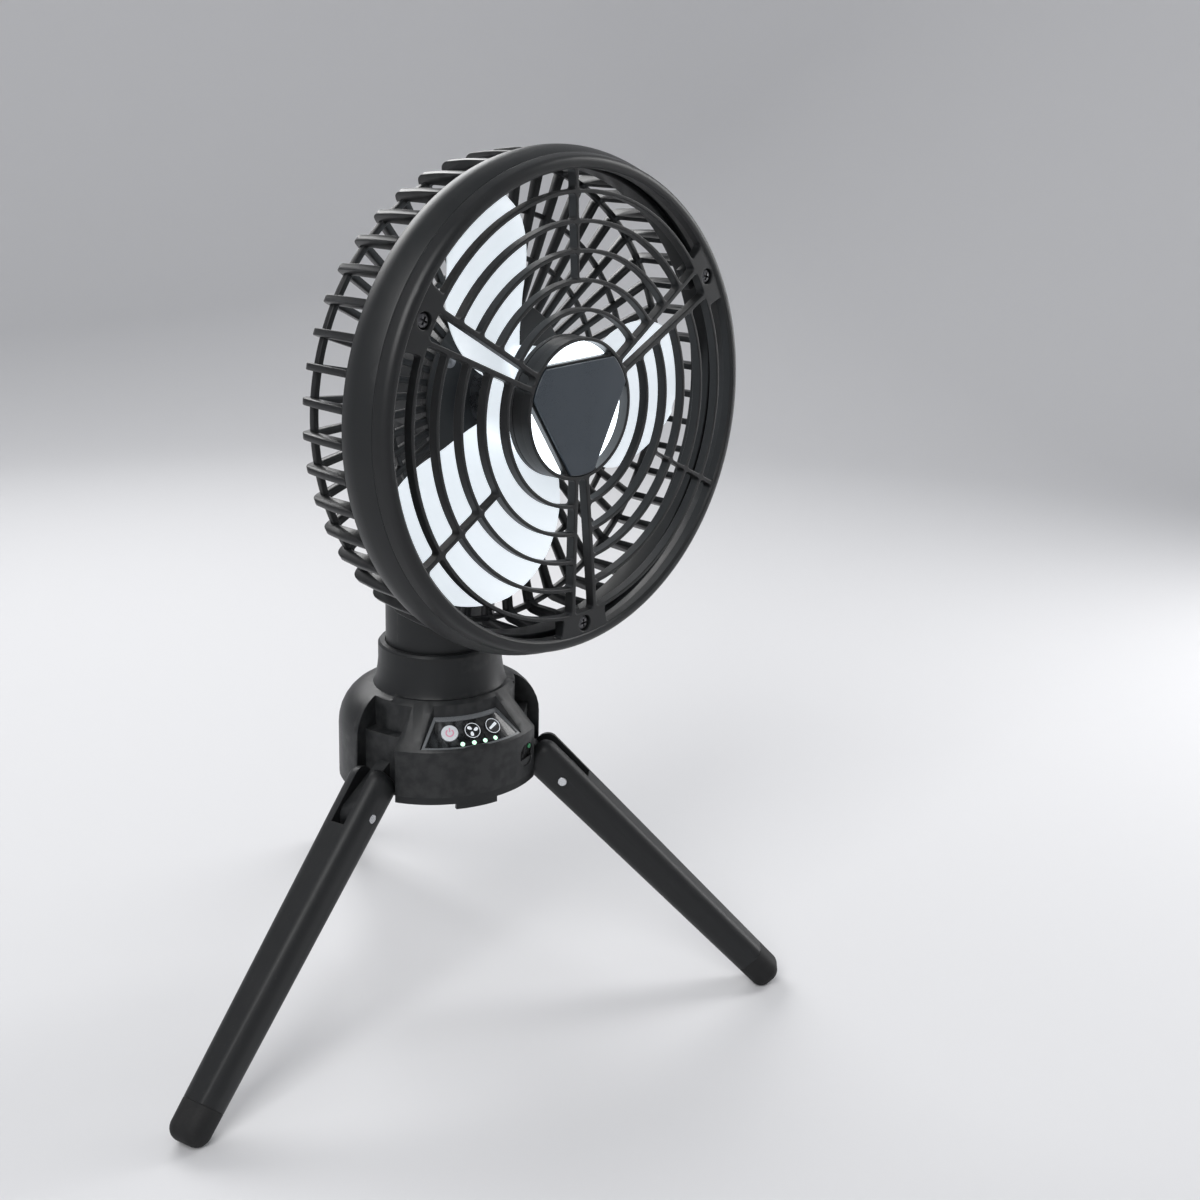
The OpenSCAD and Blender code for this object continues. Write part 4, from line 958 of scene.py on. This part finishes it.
# %% Floor and lamps
def studio():
    """A round floor that curves up into a wall. Its sizes are in metres."""
    floor, flat, curve, rise = -STAND * MM, 1.15, 0.55, 1.7
    profile = [(0, floor), (flat, floor)]
    profile += [(flat + curve * sin(radians(a)), floor + curve * (1 - cos(radians(a))))
                for a in range(6, 91, 6)]
    profile += [(flat + curve, floor + rise)]
    bm = lathe(profile, 96, close=False)
    for face in bm.faces:
        face.smooth = True
    mesh = bpy.data.meshes.new("floor")
    bm.to_mesh(mesh)
    sweep = bpy.data.objects.new("floor", mesh)
    bpy.context.scene.collection.objects.link(sweep)
    mat = bpy.data.materials.new("floor_pale")
    mat.use_nodes = True
    shader = mat.node_tree.nodes["Principled BSDF"]
    shader.inputs["Base Color"].default_value = (0.66, 0.66, 0.67, 1)
    shader.inputs["Roughness"].default_value = 0.75
    mesh.materials.append(mat)

def lamp(name, place, aim, size, watts):
    data = bpy.data.lights.new(name, "AREA")
    data.shape, data.size, data.size_y = "RECTANGLE", size[0], size[1]
    data.energy = watts
    obj = bpy.data.objects.new(name, data)
    bpy.context.scene.collection.objects.link(obj)
    obj.location = place
    obj.rotation_euler = (Vector(aim) - Vector(place)).to_track_quat("-Z", "Y").to_euler()

studio()
# Name, place, aim, size in metres, and watts
lamp("key", (-0.75, -0.75, 0.95), (0, 0, 0.08), (0.7, 0.7), 11)
lamp("strip", (0.85, 0.0, 0.45), (0, 0, 0.1), (0.25, 1.1), 5)
lamp("back", (-0.1, 0.95, 0.75), (0, 0, 0.12), (0.9, 0.4), 8)
world = bpy.data.worlds.new("studio")
world.use_nodes = True
world.node_tree.nodes["Background"].inputs["Color"].default_value = (0.92, 0.95, 1.0, 1)
world.node_tree.nodes["Background"].inputs["Strength"].default_value = 0.40
bpy.context.scene.world = world

# %% [markdown]
# ## The camera
# It stands where the photograph was taken from: to the left of the panel and a little above the
# fan's middle, looking slightly down, with a little roll.

# %% Camera
PHOTO_PX, FOCAL_PX, SHIFT_PX, SENSOR_MM = 1200, 1581.7, (-113.6, -131.1), 36.0
STAND_SIDE, DISTANCE, HEIGHT = 20.91, 0.65665, 0.27904    # degrees left of the panel; metres
AIM_SIDE, AIM_DOWN, ROLL = 10.05, 12.45, 2.11             # degrees

def camera():
    side = radians(-STAND_SIDE)
    data = bpy.data.cameras.new("camera")
    data.sensor_width, data.lens = SENSOR_MM, FOCAL_PX / PHOTO_PX * SENSOR_MM
    data.shift_x, data.shift_y = SHIFT_PX[0] / PHOTO_PX, SHIFT_PX[1] / PHOTO_PX
    data.clip_start, data.clip_end = 0.01, 20
    obj = bpy.data.objects.new("camera", data)
    bpy.context.scene.collection.objects.link(obj)
    obj.matrix_world = (
        Matrix.Translation((DISTANCE * sin(side), -DISTANCE * cos(side), HEIGHT))
        @ Matrix.Rotation(-radians(AIM_SIDE + STAND_SIDE), 4, "Z")
        @ Matrix.Rotation(radians(90 - AIM_DOWN), 4, "X")
        @ Matrix.Rotation(radians(ROLL), 4, "Z"))
    bpy.context.scene.camera = obj

camera()
bpy.context.scene.view_settings.view_transform = "Standard"
